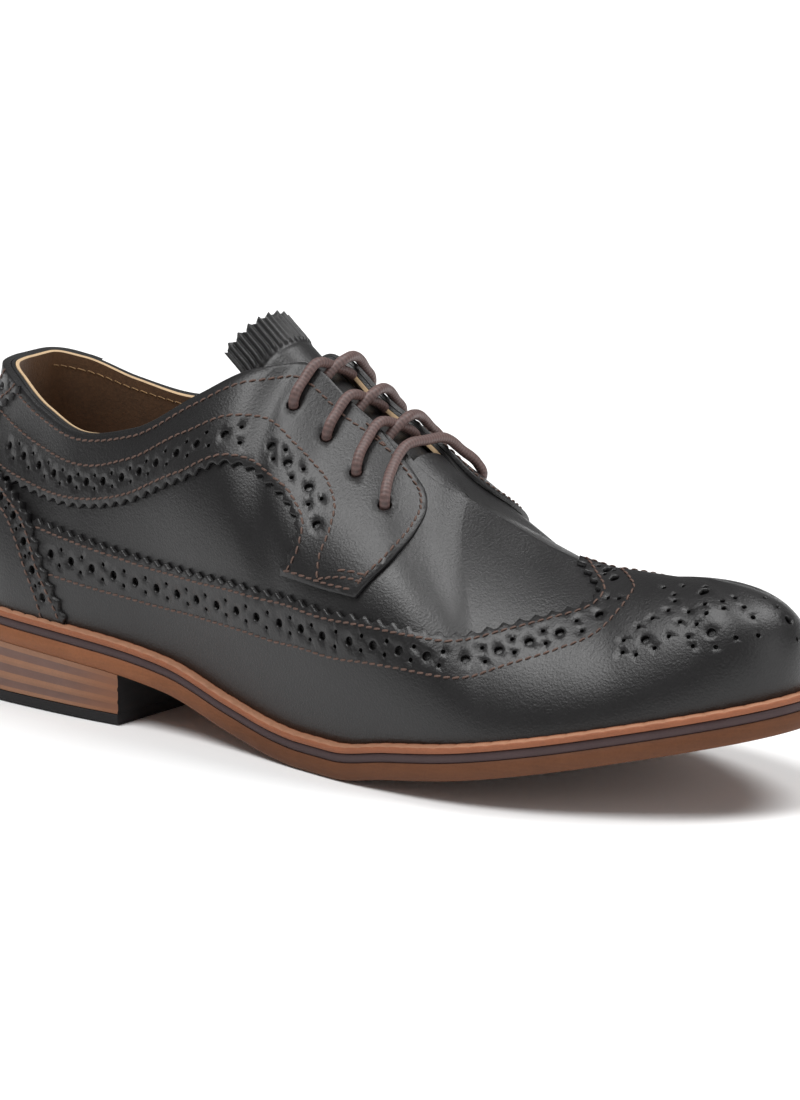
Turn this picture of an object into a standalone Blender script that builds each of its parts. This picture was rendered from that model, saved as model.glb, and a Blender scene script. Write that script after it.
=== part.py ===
import math

import bmesh
import bpy
import numpy as np
from mathutils import Vector
from mathutils.geometry import delaunay_2d_cdt

# Driving sizes in metres
LAST_LENGTH = 0.2830
HALF_BALL = 0.0454
COLLAR_HEIGHT = 0.0976
HEEL_RISE = 0.0156
OUTSOLE_THICK = 0.0051
MIDSOLE_THICK = 0.0027
WELT_THICK = 0.0022
WELT_MARGIN = 0.0050
UPPER_WALL = 0.0024
OVERLAY_THICK = 0.0011
STRIP_THICK = 0.0015
LIFT_THICK = 0.0032
HEEL_LENGTH = 0.2668 * LAST_LENGTH
TONGUE_THICK = 0.0022
INSOLE_THICK = 0.0020
LACE_RADIUS = 0.0015
EYELET_RADIUS = 0.0021
GAP = 0.0003

# Where the heel's middle lies along the last
ORIGIN_SHARE = 0.1237
# Side of the body, -1 lateral and +1 medial
LATERAL = -1
MEDIAL = 1

# Bottom line of the outsole: share of length, share of the heel's rise
BOTTOM_LINE = (
    (-0.040, 1.30), (0.081, 1.17), (0.240, 1.00), (0.329, 0.78), (0.417, 0.32),
    (0.491, 0.045), (0.523, 0.0), (0.572, 0.0), (0.647, 0.22), (0.724, 0.42),
    (0.806, 0.70), (0.901, 1.07), (1.030, 1.59),
)
# Plan of the foot line: share of length, lateral and medial share of the half ball
PLAN = (
    (0.000, 0.000, 0.000), (0.0194, 0.348, 0.348), (0.071, 0.590, 0.590),
    (0.138, 0.665, 0.661), (0.223, 0.696, 0.628), (0.311, 0.694, 0.573),
    (0.406, 0.738, 0.562), (0.512, 0.855, 0.650), (0.618, 0.974, 0.826),
    (0.710, 1.000, 0.947), (0.795, 0.910, 0.925), (0.876, 0.700, 0.782),
    (0.947, 0.432, 0.562), (0.986, 0.194, 0.348), (1.000, -0.088, 0.088),
)
# Collar, throat and ridge line by foot station:
# station, along share, lateral half, lateral height, medial half, medial height
TOP_LINE = (
    (0.000, 0.039, 0.000, 1.000, 0.000, 1.000), (0.0194, 0.045, 0.189, 0.996, 0.189, 1.006),
    (0.071, 0.076, 0.335, 0.963, 0.339, 0.986), (0.138, 0.127, 0.463, 0.898, 0.480, 0.926),
    (0.223, 0.194, 0.557, 0.850, 0.562, 0.887), (0.311, 0.269, 0.579, 0.889, 0.562, 0.912),
    (0.406, 0.343, 0.507, 1.006, 0.496, 1.004), (0.488, 0.401, 0.348, 1.094, 0.348, 1.086),
    (0.541, 0.438, 0.181, 1.109, 0.181, 1.098), (0.618, 0.495, 0.161, 1.008, 0.161, 0.998),
    (0.700, 0.562, 0.176, 0.891, 0.176, 0.883), (0.739, 0.597, 0.132, 0.812, 0.132, 0.808),
    (0.763, 0.622, 0.000, 0.763, 0.000, 0.763), (0.795, 0.668, 0.000, 0.712, 0.000, 0.712),
    (0.837, 0.728, 0.000, 0.652, 0.000, 0.652), (0.887, 0.795, 0.000, 0.611, 0.000, 0.611),
    (0.947, 0.862, 0.000, 0.611, 0.000, 0.611), (0.986, 0.901, 0.000, 0.621, 0.000, 0.621),
    (1.000, 0.915, 0.000, 0.621, 0.000, 0.621),
)
# Wall profile by foot station: station, lean, rise share, end slope, end share, side blend
WALL_LINE = (
    (0.000, 9, 0.42, 80, 0.45, 1.0), (0.071, 9, 0.42, 84, 0.42, 1.0),
    (0.138, 9, 0.42, 86, 0.35, 1.0), (0.223, 10, 0.45, 78, 0.30, 1.0),
    (0.311, 12, 0.45, 66, 0.32, 1.0), (0.406, 13, 0.45, 52, 0.36, 1.0),
    (0.512, 12, 0.46, 44, 0.40, 1.0), (0.618, 9, 0.48, 40, 0.42, 1.0),
    (0.710, 7, 0.44, 34, 0.38, 1.0), (0.763, 6, 0.28, 20, 0.20, 0.5),
    (0.795, 5, 0.32, 16, 0.20, 0.0), (0.876, 5, 0.46, 12, 0.34, 0.0),
    (0.947, 6, 0.60, 8, 0.50, 0.0), (0.986, 7, 0.62, 7, 0.62, 0.0),
    (1.000, 7, 0.62, 6, 0.64, 0.0),
)
# Stations where the upper is ruled, as shares of the length
STATIONS = (
    0.000, 0.0045, 0.0097, 0.0145, 0.0194, 0.030, 0.042, 0.055, 0.071, 0.104,
    0.138, 0.180, 0.223, 0.267, 0.311, 0.358,
    0.406, 0.447, 0.488, 0.515, 0.541, 0.580, 0.618, 0.659, 0.700, 0.720, 0.739, 0.763,
    0.795, 0.816, 0.837, 0.862, 0.887, 0.912, 0.931, 0.947, 0.960, 0.973, 0.981, 0.986, 0.9900, 0.9935, 0.9970, 1.000,
)
HEIGHTS = (0.0, 0.07, 0.16, 0.26, 0.37, 0.48, 0.59, 0.70, 0.80, 0.90, 1.0)
THROAT_END = 0.763

# Wing cap edge from the heel strip to the ridge: station, wall share
WING_EDGE = (
    (0.141, 0.448), (0.202, 0.433), (0.270, 0.405), (0.345, 0.375), (0.449, 0.358), (0.577, 0.340),
    (0.650, 0.353), (0.703, 0.370), (0.742, 0.390), (0.795, 0.477), (0.827, 0.560),
    (0.848, 0.625), (0.866, 0.707), (0.875, 0.797), (0.868, 0.900), (0.857, 1.000),
)
# Facing panel edge from the strip forward under the collar band to the tab and its front
BAND_EDGE = (
    (0.080, 0.606), (0.115, 0.600), (0.170, 0.595), (0.230, 0.615), (0.281, 0.645), (0.346, 0.692),
    (0.417, 0.708), (0.463, 0.722), (0.492, 0.722), (0.518, 0.705), (0.548, 0.668),
    (0.578, 0.640), (0.590, 0.600), (0.582, 0.520), (0.563, 0.445), (0.548, 0.402),
    (0.600, 0.410), (0.646, 0.420),
)
TAB_FRONT = (
    (0.672, 0.500), (0.710, 0.635), (0.737, 0.815), (0.741, 0.890), (0.735, 0.935),
    (0.722, 0.965), (0.700, 0.985),
)
TOP_MARGIN = 0.985
# Heel strip half outline: station, wall share
STRIP_EDGE = (
    (0.186, 0.060), (0.176, 0.134), (0.159, 0.253), (0.148, 0.354), (0.130, 0.458),
    (0.092, 0.550), (0.060, 0.620), (0.040, 0.700), (0.030, 0.790), (0.055, 0.900), (0.090, 0.985),
)
# Eyelets up the throat: station, wall share
EYELETS = ((0.727, 0.830), (0.676, 0.872), (0.622, 0.893), (0.566, 0.898))


def smooth_table(x, xs, ys):
    """A smooth line through a table that never overshoots its points."""
    xs = np.asarray(xs, float)
    ys = np.asarray(ys, float)
    h = np.diff(xs)
    d = np.diff(ys) / h
    same = d[:-1] * d[1:] > 0
    left = np.where(same, d[:-1], 1.0)
    right = np.where(same, d[1:], 1.0)
    w1 = 2 * h[1:] + h[:-1]
    w2 = h[1:] + 2 * h[:-1]
    m = np.concatenate([[d[0]], np.where(same, (w1 + w2) / (w1 / left + w2 / right), 0.0), [d[-1]]])
    x = np.clip(x, xs[0], xs[-1])
    i = np.clip(np.searchsorted(xs, x, side="right") - 1, 0, len(h) - 1)
    t = (x - xs[i]) / h[i]
    rise = ys[i] * (2 * t**3 - 3 * t**2 + 1) + ys[i + 1] * (3 * t**2 - 2 * t**3)
    return rise + h[i] * (m[i] * (t**3 - 2 * t**2 + t) + m[i + 1] * (t**3 - t**2))


def unit(v):
    return v / np.maximum(np.linalg.norm(v, axis=-1, keepdims=True), 1e-12)


def bottom_height(x):
    """Height of the outsole's underside at a place along the shoe."""
    share = np.asarray(x, float) / LAST_LENGTH + ORIGIN_SHARE
    table = np.array(BOTTOM_LINE)
    return smooth_table(share, table[:, 0], table[:, 1]) * HEEL_RISE


SOLE_STACK = OUTSOLE_THICK + MIDSOLE_THICK + 2 * GAP


class Last:
    """The outer surface of the upper, by place round the foot line and share up the wall."""

    def __init__(self):
        plan = np.array(PLAN)
        near = np.stack([plan[:, 0] * LAST_LENGTH, -plan[:, 1] * HALF_BALL], 1)
        far = np.stack([plan[:, 0] * LAST_LENGTH, plan[:, 2] * HALF_BALL], 1)[-2:0:-1]
        ring = np.vstack([near, far])
        ring[:, 0] -= ORIGIN_SHARE * LAST_LENGTH
        step = np.linalg.norm(np.diff(np.vstack([ring, ring[:1]]), axis=0), axis=1)
        self.round = step.sum()
        self.knots = np.concatenate([[0.0], np.cumsum(step)[:-1]])
        self.ring = ring
        self.second = self.bend(self.knots, self.round, ring)
        count = len(plan)
        self.toe = self.knots[count - 1]
        self.stations = plan[:, 0]
        self.near_knots = self.knots[:count]
        self.far_knots = np.concatenate([[self.round], self.knots[:count - 1:-1], [self.toe]])
        dense = np.linspace(0.0, 1.0, 4001)
        self.dense_station = dense
        self.dense_near = smooth_table(dense, self.stations, self.near_knots)
        self.dense_far = smooth_table(dense, self.stations, self.far_knots)
        top = np.array(TOP_LINE)
        sizes = np.array([LAST_LENGTH, HALF_BALL, COLLAR_HEIGHT])
        near_top = np.stack([top[:, 1] - ORIGIN_SHARE, -top[:, 2], top[:, 3]], 1) * sizes
        far_top = np.stack([top[:, 1] - ORIGIN_SHARE, top[:, 4], top[:, 5]], 1) * sizes
        self.near_top = self.folded(np.column_stack([top[:, 0], near_top]), 2)
        self.far_top = self.folded(np.column_stack([top[:, 0], far_top]), 2)
        self.wall = self.folded(np.array(WALL_LINE, float), None)

    @staticmethod
    def folded(table, flip):
        """The table carried on past both ends as its own mirror image."""
        before = table[1:3][::-1].copy()
        before[:, 0] *= -1
        if flip is not None:
            before[:, flip] *= -1
        after = table[-3:-1][::-1].copy()
        after[:, 0] = 2 - after[:, 0]
        return np.vstack([before, table, after])

    @staticmethod
    def bend(knots, length, values):
        count = len(knots)
        h = np.diff(np.append(knots, knots[0] + length))
        system = np.zeros((count, count))
        right = np.zeros_like(values)
        for i in range(count):
            before = (i - 1) % count
            after = (i + 1) % count
            system[i, before] += h[before]
            system[i, i] += 2 * (h[before] + h[i])
            system[i, after] += h[i]
            right[i] = 6 * ((values[after] - values[i]) / h[i] - (values[i] - values[before]) / h[before])
        return np.linalg.solve(system, right)

    def along(self, station, side):
        """Distance round the foot line of a station on one side."""
        places = self.dense_near if side == LATERAL else self.dense_far
        return np.interp(station, self.dense_station, places)

    def station(self, s):
        """Station along the last and which side it lies on."""
        s = np.mod(np.asarray(s, float), self.round)
        near = s <= self.toe
        on_near = np.interp(s, self.dense_near, self.dense_station)
        on_far = np.interp(s, self.dense_far[::-1], self.dense_station[::-1])
        return np.where(near, on_near, on_far), near

    def plan(self, s):
        s = np.mod(np.asarray(s, float), self.round)
        count = len(self.knots)
        i = np.clip(np.searchsorted(self.knots, s, side="right") - 1, 0, count - 1)
        j = (i + 1) % count
        h = np.diff(np.append(self.knots, self.round))[i][..., None]
        a = (s - self.knots[i])[..., None]
        c = h - a
        bent = (self.second[i] * c**3 + self.second[j] * a**3) / (6 * h)
        line = (self.ring[i] / h - self.second[i] * h / 6) * c
        return bent + line + (self.ring[j] / h - self.second[j] * h / 6) * a

    def side(self, s):
        """Level direction out of the foot line."""
        small = 5e-5
        d = unit(self.plan(np.asarray(s) + small) - self.plan(np.asarray(s) - small))
        return np.stack([d[..., 1], -d[..., 0]], -1)

    def foot(self, s):
        p = self.plan(s)
        return np.concatenate([p, (bottom_height(p[..., 0]) + SOLE_STACK)[..., None]], -1)

    def end_at(self, station, near):
        near_p = np.stack([smooth_table(station, self.near_top[:, 0], self.near_top[:, k]) for k in (1, 2, 3)], -1)
        far_p = np.stack([smooth_table(station, self.far_top[:, 0], self.far_top[:, k]) for k in (1, 2, 3)], -1)
        return np.where(near[..., None], near_p, far_p)

    def end(self, s):
        return self.end_at(*self.station(s))

    def point(self, s, t):
        s, t = np.broadcast_arrays(np.asarray(s, float), np.asarray(t, float))
        foot = self.foot(s)
        end = self.end(s)
        side = self.side(s)
        at, near = self.station(s)
        lean, rise, slope, share, blend = (
            smooth_table(at, self.wall[:, 0], self.wall[:, k])[..., None] for k in range(1, 6))
        height = end[..., 2:3] - foot[..., 2:3]
        reach = np.linalg.norm(end - foot, axis=-1, keepdims=True)
        lean = np.radians(lean)
        slope = np.radians(slope)
        up = np.zeros_like(foot)
        up[..., 2] = 1.0
        side_3d = np.concatenate([side, np.zeros_like(height)], -1)
        first = foot + rise * height * (up * np.cos(lean) + side_3d * np.sin(lean))
        level = unit(unit(foot[..., :2] - end[..., :2]) * (1 - blend) + side * blend)
        change = self.end_at(np.minimum(at + 0.004, 1.0), near) - self.end_at(at - 0.004, near)
        run = np.where(np.abs(change[..., 0:1]) < 1e-9, 1e-9, change[..., 0:1])
        ridge = np.clip(change[..., 2:3] / run, -1, 1)
        drop = level[..., 0:1] * ridge * (1 - blend) * np.cos(slope) - np.sin(slope)
        second = end + share * reach * np.concatenate([level * np.cos(slope), drop], -1)
        t = t[..., None]
        return foot * (1 - t)**3 + 3 * first * t * (1 - t)**2 + 3 * second * t**2 * (1 - t) + end * t**3

    def mirror(self, s):
        """The place with the same station on the other side."""
        at, near = self.station(s)
        return np.where(near, self.along(at, MEDIAL), self.along(at, LATERAL))

    def raw_normal(self, s, t):
        ds = 1e-4
        dt = 2e-3
        low = np.clip(t - dt, 0, 1)
        high = np.clip(t + dt, 0, 1)
        a = self.point(s + ds, t) - self.point(s - ds, t)
        b = self.point(s, high) - self.point(s, low)
        return unit(np.cross(a, b))

    def normal(self, s, t):
        """Outward direction, shared by both sides where they meet on the ridge."""
        s, t = np.broadcast_arrays(np.asarray(s, float), np.asarray(t, float))
        n = self.raw_normal(s, np.minimum(t, 0.985))
        other = self.raw_normal(self.mirror(s), np.minimum(t, 0.985))
        station, _ = self.station(s)
        meet = ((station >= THROAT_END - 1e-4) & (t > 0.999))[..., None]
        both = n + other
        both[..., 1] = 0.0
        return np.where(meet, unit(both), n)

    def off(self, s, t, out):
        return self.point(s, t) + self.normal(s, t) * out


last = Last()

for old in list(bpy.data.objects):
    bpy.data.objects.remove(old)
shoe = bpy.data.collections.new("wingtip_oxford")
bpy.context.scene.collection.children.link(shoe)
cutters = bpy.data.collections.new("cutters")
bpy.context.scene.collection.children.link(cutters)


def material(name, colour, rough):
    made = bpy.data.materials.new(name)
    made.use_nodes = True
    shader = made.node_tree.nodes["Principled BSDF"]
    shader.inputs["Base Color"].default_value = (*colour, 1.0)
    shader.inputs["Roughness"].default_value = rough
    made.diffuse_color = (*colour, 1.0)
    return made


def add(name, verts, faces, colour, rough, home=None):
    """One closed body from points and faces, joined where points meet and facing out."""
    mesh = bpy.data.meshes.new(name)
    body = bmesh.new()
    points = [body.verts.new(tuple(float(c) for c in v)) for v in verts]
    for face in faces:
        loop = []
        for i in face:
            if points[i] not in loop:
                loop.append(points[i])
        if len(loop) > 2:
            body.faces.new(loop)
    bmesh.ops.remove_doubles(body, verts=body.verts, dist=2e-6)
    bmesh.ops.triangulate(body, faces=body.faces)
    loose = [v for v in body.verts if not v.link_faces]
    bmesh.ops.delete(body, geom=loose, context="VERTS")
    bmesh.ops.recalc_face_normals(body, faces=body.faces)
    if body.calc_volume(signed=True) < 0:
        bmesh.ops.reverse_faces(body, faces=body.faces)
    body.to_mesh(mesh)
    body.free()
    thing = bpy.data.objects.new(name, mesh)
    (home or shoe).objects.link(thing)
    mesh.materials.append(material(name, colour, rough))
    return thing


def loft(name, rings, colour, rough, closed_ring=True):
    """A solid through rings of points, capped at both ends."""
    count = len(rings[0])
    verts = [p for ring in rings for p in ring]
    faces = []
    for i in range(len(rings) - 1):
        for j in range(count if closed_ring else count - 1):
            k = (j + 1) % count
            a = i * count
            b = a + count
            faces.append((a + j, a + k, b + k, b + j))
    faces.append(tuple(range(count))[::-1])
    faces.append(tuple(range((len(rings) - 1) * count, len(rings) * count)))
    return add(name, verts, faces, colour, rough)


def sole_outline(grow, spacing=0.0065):
    count = int(last.round / spacing)
    s = np.linspace(0, last.round, count, endpoint=False)
    turn = np.linspace(0, last.round, 4000)
    side = last.side(turn)
    bend = np.concatenate([[0], np.cumsum(np.linalg.norm(np.diff(side, axis=0), axis=1))])
    even = turn / last.round * count * 0.62 + bend / bend[-1] * count * 0.38
    s = np.interp(np.arange(count), even, turn)
    return s, last.plan(s) + last.side(s) * grow


def cut_at(outline, x_cut, keep_back):
    """The part of an outline on one side of a straight cross line."""
    kept = []
    count = len(outline)
    for i in range(count):
        a = outline[i]
        b = outline[(i + 1) % count]
        inside = (a[0] < x_cut) == keep_back
        if inside and abs(a[0] - x_cut) > 4e-4:
            kept.append(a)
        if (a[0] < x_cut) != (b[0] < x_cut):
            f = (x_cut - a[0]) / (b[0] - a[0])
            kept.append(a + (b - a) * f)
    return np.array(kept)


BROWN = (0.20, 0.085, 0.045)
TAN = (0.36, 0.15, 0.07)
PLUM = (0.11, 0.075, 0.075)
BLACK = (0.012, 0.012, 0.013)

# Sole package from the floor up
station_round, outer_line = sole_outline(WELT_MARGIN, 0.0095)


def raised(amount):
    return lambda x: bottom_height(x) + amount


def sole_plate(name, grow, low, high, colour, rough):
    """A sole layer ruled across at stations along the shoe."""
    dense = np.linspace(0, last.round, 3000)
    line = last.plan(dense) + last.side(dense) * grow
    tip_low = line[:, 0].min()
    tip_high = line[:, 0].max()
    k_low = int(np.argmin(line[:, 0]))
    k_high = int(np.argmax(line[:, 0]))
    ring = np.roll(line[:-1], -k_low, axis=0)
    k = (k_high - k_low) % (len(line) - 1)
    near = ring[:k + 1]
    far = ring[k:][::-1]
    u = np.linspace(0, math.pi, 44)
    xs = (tip_low + tip_high) / 2 - (tip_high - tip_low) / 2 * np.cos(u)
    xs = 0.35 * xs + 0.65 * np.linspace(tip_low, tip_high, 44)
    xs = np.concatenate([[tip_low], tip_low + (tip_high - tip_low) * np.array([0.002, 0.008]), xs[1:-1],
                         tip_high - (tip_high - tip_low) * np.array([0.008, 0.002]), [tip_high]])
    xs = np.unique(np.round(xs, 6))
    y_near = np.interp(xs, near[:, 0], near[:, 1])
    y_far = np.interp(xs, far[:, 0], far[:, 1])
    sections = []
    for x, a, b in zip(xs, y_near, y_far):
        sections.append([(x, a, low(x)), (x, b, low(x)), (x, b, high(x)), (x, a, high(x))])
    verts = []
    faces = []
    for ring4 in sections:
        verts.extend(ring4)
    for i in range(len(sections) - 1):
        for j in range(4):
            m = (j + 1) % 4
            faces.append((4 * i + j, 4 * i + 4 + j, 4 * i + 4 + m, 4 * i + m))
    faces.append((0, 1, 2, 3))
    n = 4 * (len(sections) - 1)
    faces.append((n, n + 3, n + 2, n + 1))
    return add(name, verts, faces, colour, rough)


sole_plate("outsole", WELT_MARGIN, raised(0.0), raised(OUTSOLE_THICK), BROWN, 0.6)
sole_plate("midsole", WELT_MARGIN - 0.0003, raised(OUTSOLE_THICK + GAP),
           raised(OUTSOLE_THICK + GAP + MIDSOLE_THICK), PLUM, 0.6)

# Welt, a ring lying on the midsole round the foot of the upper
WELT_INNER = 0.0006
rings = []
for s in station_round:
    base = last.plan(s)
    side = last.side(s)
    inner = base + side * (GAP + WELT_INNER)
    outer = base + side * WELT_MARGIN
    z_in = bottom_height(inner[0]) + SOLE_STACK
    z_out = bottom_height(outer[0]) + SOLE_STACK
    rings.append([(*inner, z_in), (*outer, z_out), (*outer, z_out + WELT_THICK * 0.8),
                  (*(outer - side * 0.0006), z_out + WELT_THICK), (*inner, z_in + WELT_THICK)])
verts = [p for ring in rings for p in ring]
faces = []
for i in range(len(rings)):
    k = (i + 1) % len(rings)
    for j in range(5):
        m = (j + 1) % 5
        faces.append((5 * i + j, 5 * i + m, 5 * k + m, 5 * k + j))
add("welt", verts, faces, TAN, 0.55)

# Heel: a stack of grooved layers on a top lift
heel_front = (0.0 - ORIGIN_SHARE) * LAST_LENGTH + HEEL_LENGTH
heel_line = cut_at(outer_line, heel_front, True)
centre = heel_line.mean(axis=0)


def inset(outline, amount):
    """The outline drawn in by an even amount, keeping the breast face straight."""
    out = []
    for p in outline:
        way = p - np.array([heel_front - 0.03, 0.0])
        length = np.linalg.norm(way)
        q = p - way / length * amount
        if abs(p[0] - heel_front) < 1e-6:
            q = np.array([heel_front, p[1] - math.copysign(amount, p[1])])
        out.append(q)
    return np.array(out)


def heel_rings(levels):
    made = []
    for share, amount in levels:
        line = inset(heel_line, amount)
        top = bottom_height(line[:, 0]) - GAP
        z = LIFT_THICK + GAP + (top - LIFT_THICK - GAP) * share
        made.append(np.column_stack([line, z]))
    return made


GROOVE = 0.0004
levels = [(0.0, 0.0002), (0.14, 0.0), (0.24, GROOVE), (0.34, 0.0), (0.44, 0.0), (0.54, GROOVE), (0.64, 0.0),
          (0.74, 0.0), (0.84, GROOVE), (0.92, 0.0), (1.0, 0.0)]
loft("heel_stack", heel_rings(levels), BROWN, 0.55)
lift = [np.column_stack([inset(heel_line, a), np.full(len(heel_line), z)])
        for a, z in ((0.0003, 0.0), (0.0, 0.0003), (0.0, LIFT_THICK))]
loft("heel_top_lift", lift, BLACK, 0.7)

# Upper, one hollow leather shell open at the collar, the throat and underneath
near_s = last.along(np.array(STATIONS), LATERAL)
far_s = last.along(np.array(STATIONS), MEDIAL)[::-1][1:-1]
ring_s = np.concatenate([near_s, far_s])
ring_station, _ = last.station(ring_s)
grid_s, grid_t = np.meshgrid(ring_s, np.array(HEIGHTS), indexing="ij")
outer = last.off(grid_s, grid_t, 0.0)
inner = last.off(grid_s, grid_t, -UPPER_WALL)
columns, rows = grid_s.shape
verts = np.concatenate([outer.reshape(-1, 3), inner.reshape(-1, 3)])
shift = columns * rows
faces = []
for i in range(columns):
    k = (i + 1) % columns
    for j in range(rows - 1):
        a, b, c, d = i * rows + j, k * rows + j, k * rows + j + 1, i * rows + j + 1
        faces.append((a, b, c, d))
        faces.append((a + shift, d + shift, c + shift, b + shift))
    a, b = i * rows, k * rows
    faces.append((a, a + shift, b + shift, b))
    a, b = i * rows + rows - 1, k * rows + rows - 1
    if min(ring_station[i], ring_station[k]) < THROAT_END - 1e-4:
        faces.append((a, b, b + shift, a + shift))
upper = add("upper", verts, faces, BLACK, 0.4)


def eyelet_frame(station, height, side):
    s = float(last.along(station, side))
    p = last.point(s, height)
    n = last.normal(s, height)
    return np.asarray(p), np.asarray(n)


def rod(name, a, b, radius, sides=12, home=None):
    a = Vector(a)
    b = Vector(b)
    way = (b - a).normalized()
    turn = way.to_track_quat("Z", "Y")
    verts = []
    for end in (a, b):
        for k in range(sides):
            angle = 2 * math.pi * k / sides
            verts.append(end + turn @ Vector((radius * math.cos(angle), radius * math.sin(angle), 0)))
    faces = [tuple(range(sides))[::-1], tuple(range(sides, 2 * sides))]
    faces += [(k, (k + 1) % sides, sides + (k + 1) % sides, sides + k) for k in range(sides)]
    return add(name, [tuple(v) for v in verts], faces, BLACK, 0.5, home)


holes = []
for side in (LATERAL, MEDIAL):
    for number, (station, height) in enumerate(EYELETS):
        p, n = eyelet_frame(station, height, side)
        tool = rod("eyelet_cut_%d_%d" % (side + 1, number), p - n * 0.008, p + n * 0.006, EYELET_RADIUS, 12, cutters)
        tool.hide_render = True
        tool.hide_viewport = False
        tool.display_type = "WIRE"
        holes.append(tool)


def drill(target, tools):
    for tool in tools:
        cut = target.modifiers.new("hole", "BOOLEAN")
        cut.operation = "DIFFERENCE"
        cut.solver = "EXACT"
        cut.object = tool


drill(upper, holes)

# Overlays, sheets triangulated in the wall chart and raised off the upper
CHART_TALL = 0.075


def resample(points, spacing):
    """Points along a line of chart places, near-evenly spaced in the chart."""
    points = np.array(points, float)
    flat = points * np.array([1.0, CHART_TALL])
    step = np.linalg.norm(np.diff(flat, axis=0), axis=1)
    at = np.concatenate([[0], np.cumsum(step)])
    count = max(2, int(round(at[-1] / spacing)) + 1)
    u = np.linspace(0, at[-1], count)
    return np.stack([np.interp(u, at, points[:, 0]), np.interp(u, at, points[:, 1])], 1)


def close_set(outline, longest=0.0042):
    """The outline with every long side divided."""
    made = []
    scale = np.array([1.0, CHART_TALL])
    for a, b in zip(outline, np.roll(outline, -1, axis=0)):
        on_ridge = min(a[1], b[1]) > 0.999
        parts = 1 if on_ridge else max(1, int(math.ceil(np.linalg.norm((b - a) * scale) / longest)))
        made += [a + (b - a) * k / parts for k in range(parts)]
    return np.array(made)


def sheet(name, outline, low, thick, holes_at=(), colour=BLACK, rough=0.4):
    """An overlay from its outline in the chart, with round holes and true thickness."""
    outline = close_set(np.array(outline, float))
    flat = [Vector((s, t * CHART_TALL)) for s, t in outline]
    loops = [list(range(len(flat)))]
    for s, t in holes_at:
        ds = 1e-4
        a = (last.point(s + ds, t) - last.point(s - ds, t)) / (2 * ds)
        b = (last.point(s, t + 1e-3) - last.point(s, t - 1e-3)) / 2e-3
        frame = np.stack([a, b], 1)
        u = np.linalg.svd(frame, full_matrices=False)[0]
        back = np.linalg.pinv(frame)
        base = len(flat)
        for k in range(10):
            angle = -2 * math.pi * k / 10
            step = back @ (u @ np.array([math.cos(angle), math.sin(angle)]) * EYELET_RADIUS * 1.06)
            flat.append(Vector((s + step[0], (t + step[1]) * CHART_TALL)))
        loops.append(list(range(base, base + 10)))
    edges = [(loop[i], loop[(i + 1) % len(loop)]) for loop in loops for i in range(len(loop))]
    fixed = np.array([tuple(p) for p in flat])
    for s in ring_s:
        for t in HEIGHTS[1:-1]:
            spot = np.array([s, t * CHART_TALL])
            if np.min(np.linalg.norm(fixed - spot, axis=1)) > 0.0022:
                flat.append(Vector(spot))
    points, _, tris, *_ = delaunay_2d_cdt(flat, edges, [], 0, 1e-8)
    ring = fixed[:len(outline)]
    kept = []
    place = np.array([tuple(p) for p in points])
    hole_rings = [fixed[loop] for loop in loops[1:]]
    for tri in tris:
        c = place[list(tri)].mean(axis=0)
        if inside(c, ring) and not any(inside(c, h) for h in hole_rings):
            kept.append(tuple(tri))
    s = place[:, 0]
    t = np.clip(place[:, 1] / CHART_TALL, 0, 1)
    total = len(place)
    bottom = last.off(s, t, low)
    top = last.off(s, t, low + thick)
    verts = list(bottom) + list(top)
    key = {}
    low_id = []
    for p in bottom:
        mark = tuple(np.round(p, 6))
        low_id.append(key.setdefault(mark, len(key)))
    faces = []
    seen = set()
    for tri in kept:
        faces.append(tri[::-1])
        faces.append(tuple(i + total for i in tri))
        for i in range(3):
            seen.add((low_id[tri[i]], low_id[tri[(i + 1) % 3]]))
    for tri in kept:
        for i in range(3):
            a = tri[i]
            b = tri[(i + 1) % 3]
            if (low_id[b], low_id[a]) not in seen:
                faces.append((a, b, b + total, a + total))
    return add(name, verts, faces, colour, rough)


def inside(point, ring):
    x, y = point
    a = ring
    b = np.roll(ring, -1, axis=0)
    cross = (a[:, 1] > y) != (b[:, 1] > y)
    if not cross.any():
        return False
    a = a[cross]
    b = b[cross]
    at = a[:, 0] + (y - a[:, 1]) / (b[:, 1] - a[:, 1]) * (b[:, 0] - a[:, 0])
    return bool(np.count_nonzero(at > x) % 2)


def places(table, side):
    table = np.array(table, float)
    return np.stack([last.along(table[:, 0], side), table[:, 1]], 1)


OVER = GAP + 0.00012
FOOT_SHARE = 0.075
STEP = 0.006
BUTT = 3 * GAP
wing_near = resample(places(WING_EDGE, LATERAL), STEP)
wing_far = resample(places(WING_EDGE, MEDIAL), STEP)
peak = WING_EDGE[-1][0]
ridge_stations = [peak] + [v for v in STATIONS if v > peak + 0.006]
ridge_near = [(float(last.along(v, LATERAL)), 1.0) for v in ridge_stations[1:]]
ridge_far = [(float(last.along(v, MEDIAL)), 1.0) for v in ridge_stations[1:-1]]
strip_near = resample(places(STRIP_EDGE, LATERAL), 0.005)
strip_far = resample(places(STRIP_EDGE, MEDIAL), 0.005)


def beside_strip(low, high):
    """The strip's two edges between two wall shares, drawn forward by the butt gap."""
    made = []
    for line, way in ((strip_near, 1), (strip_far, -1)):
        kept = line[(line[:, 1] > low) & (line[:, 1] < high)]
        made.append([(s + way * BUTT, t) for s, t in kept])
    return made


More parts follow.
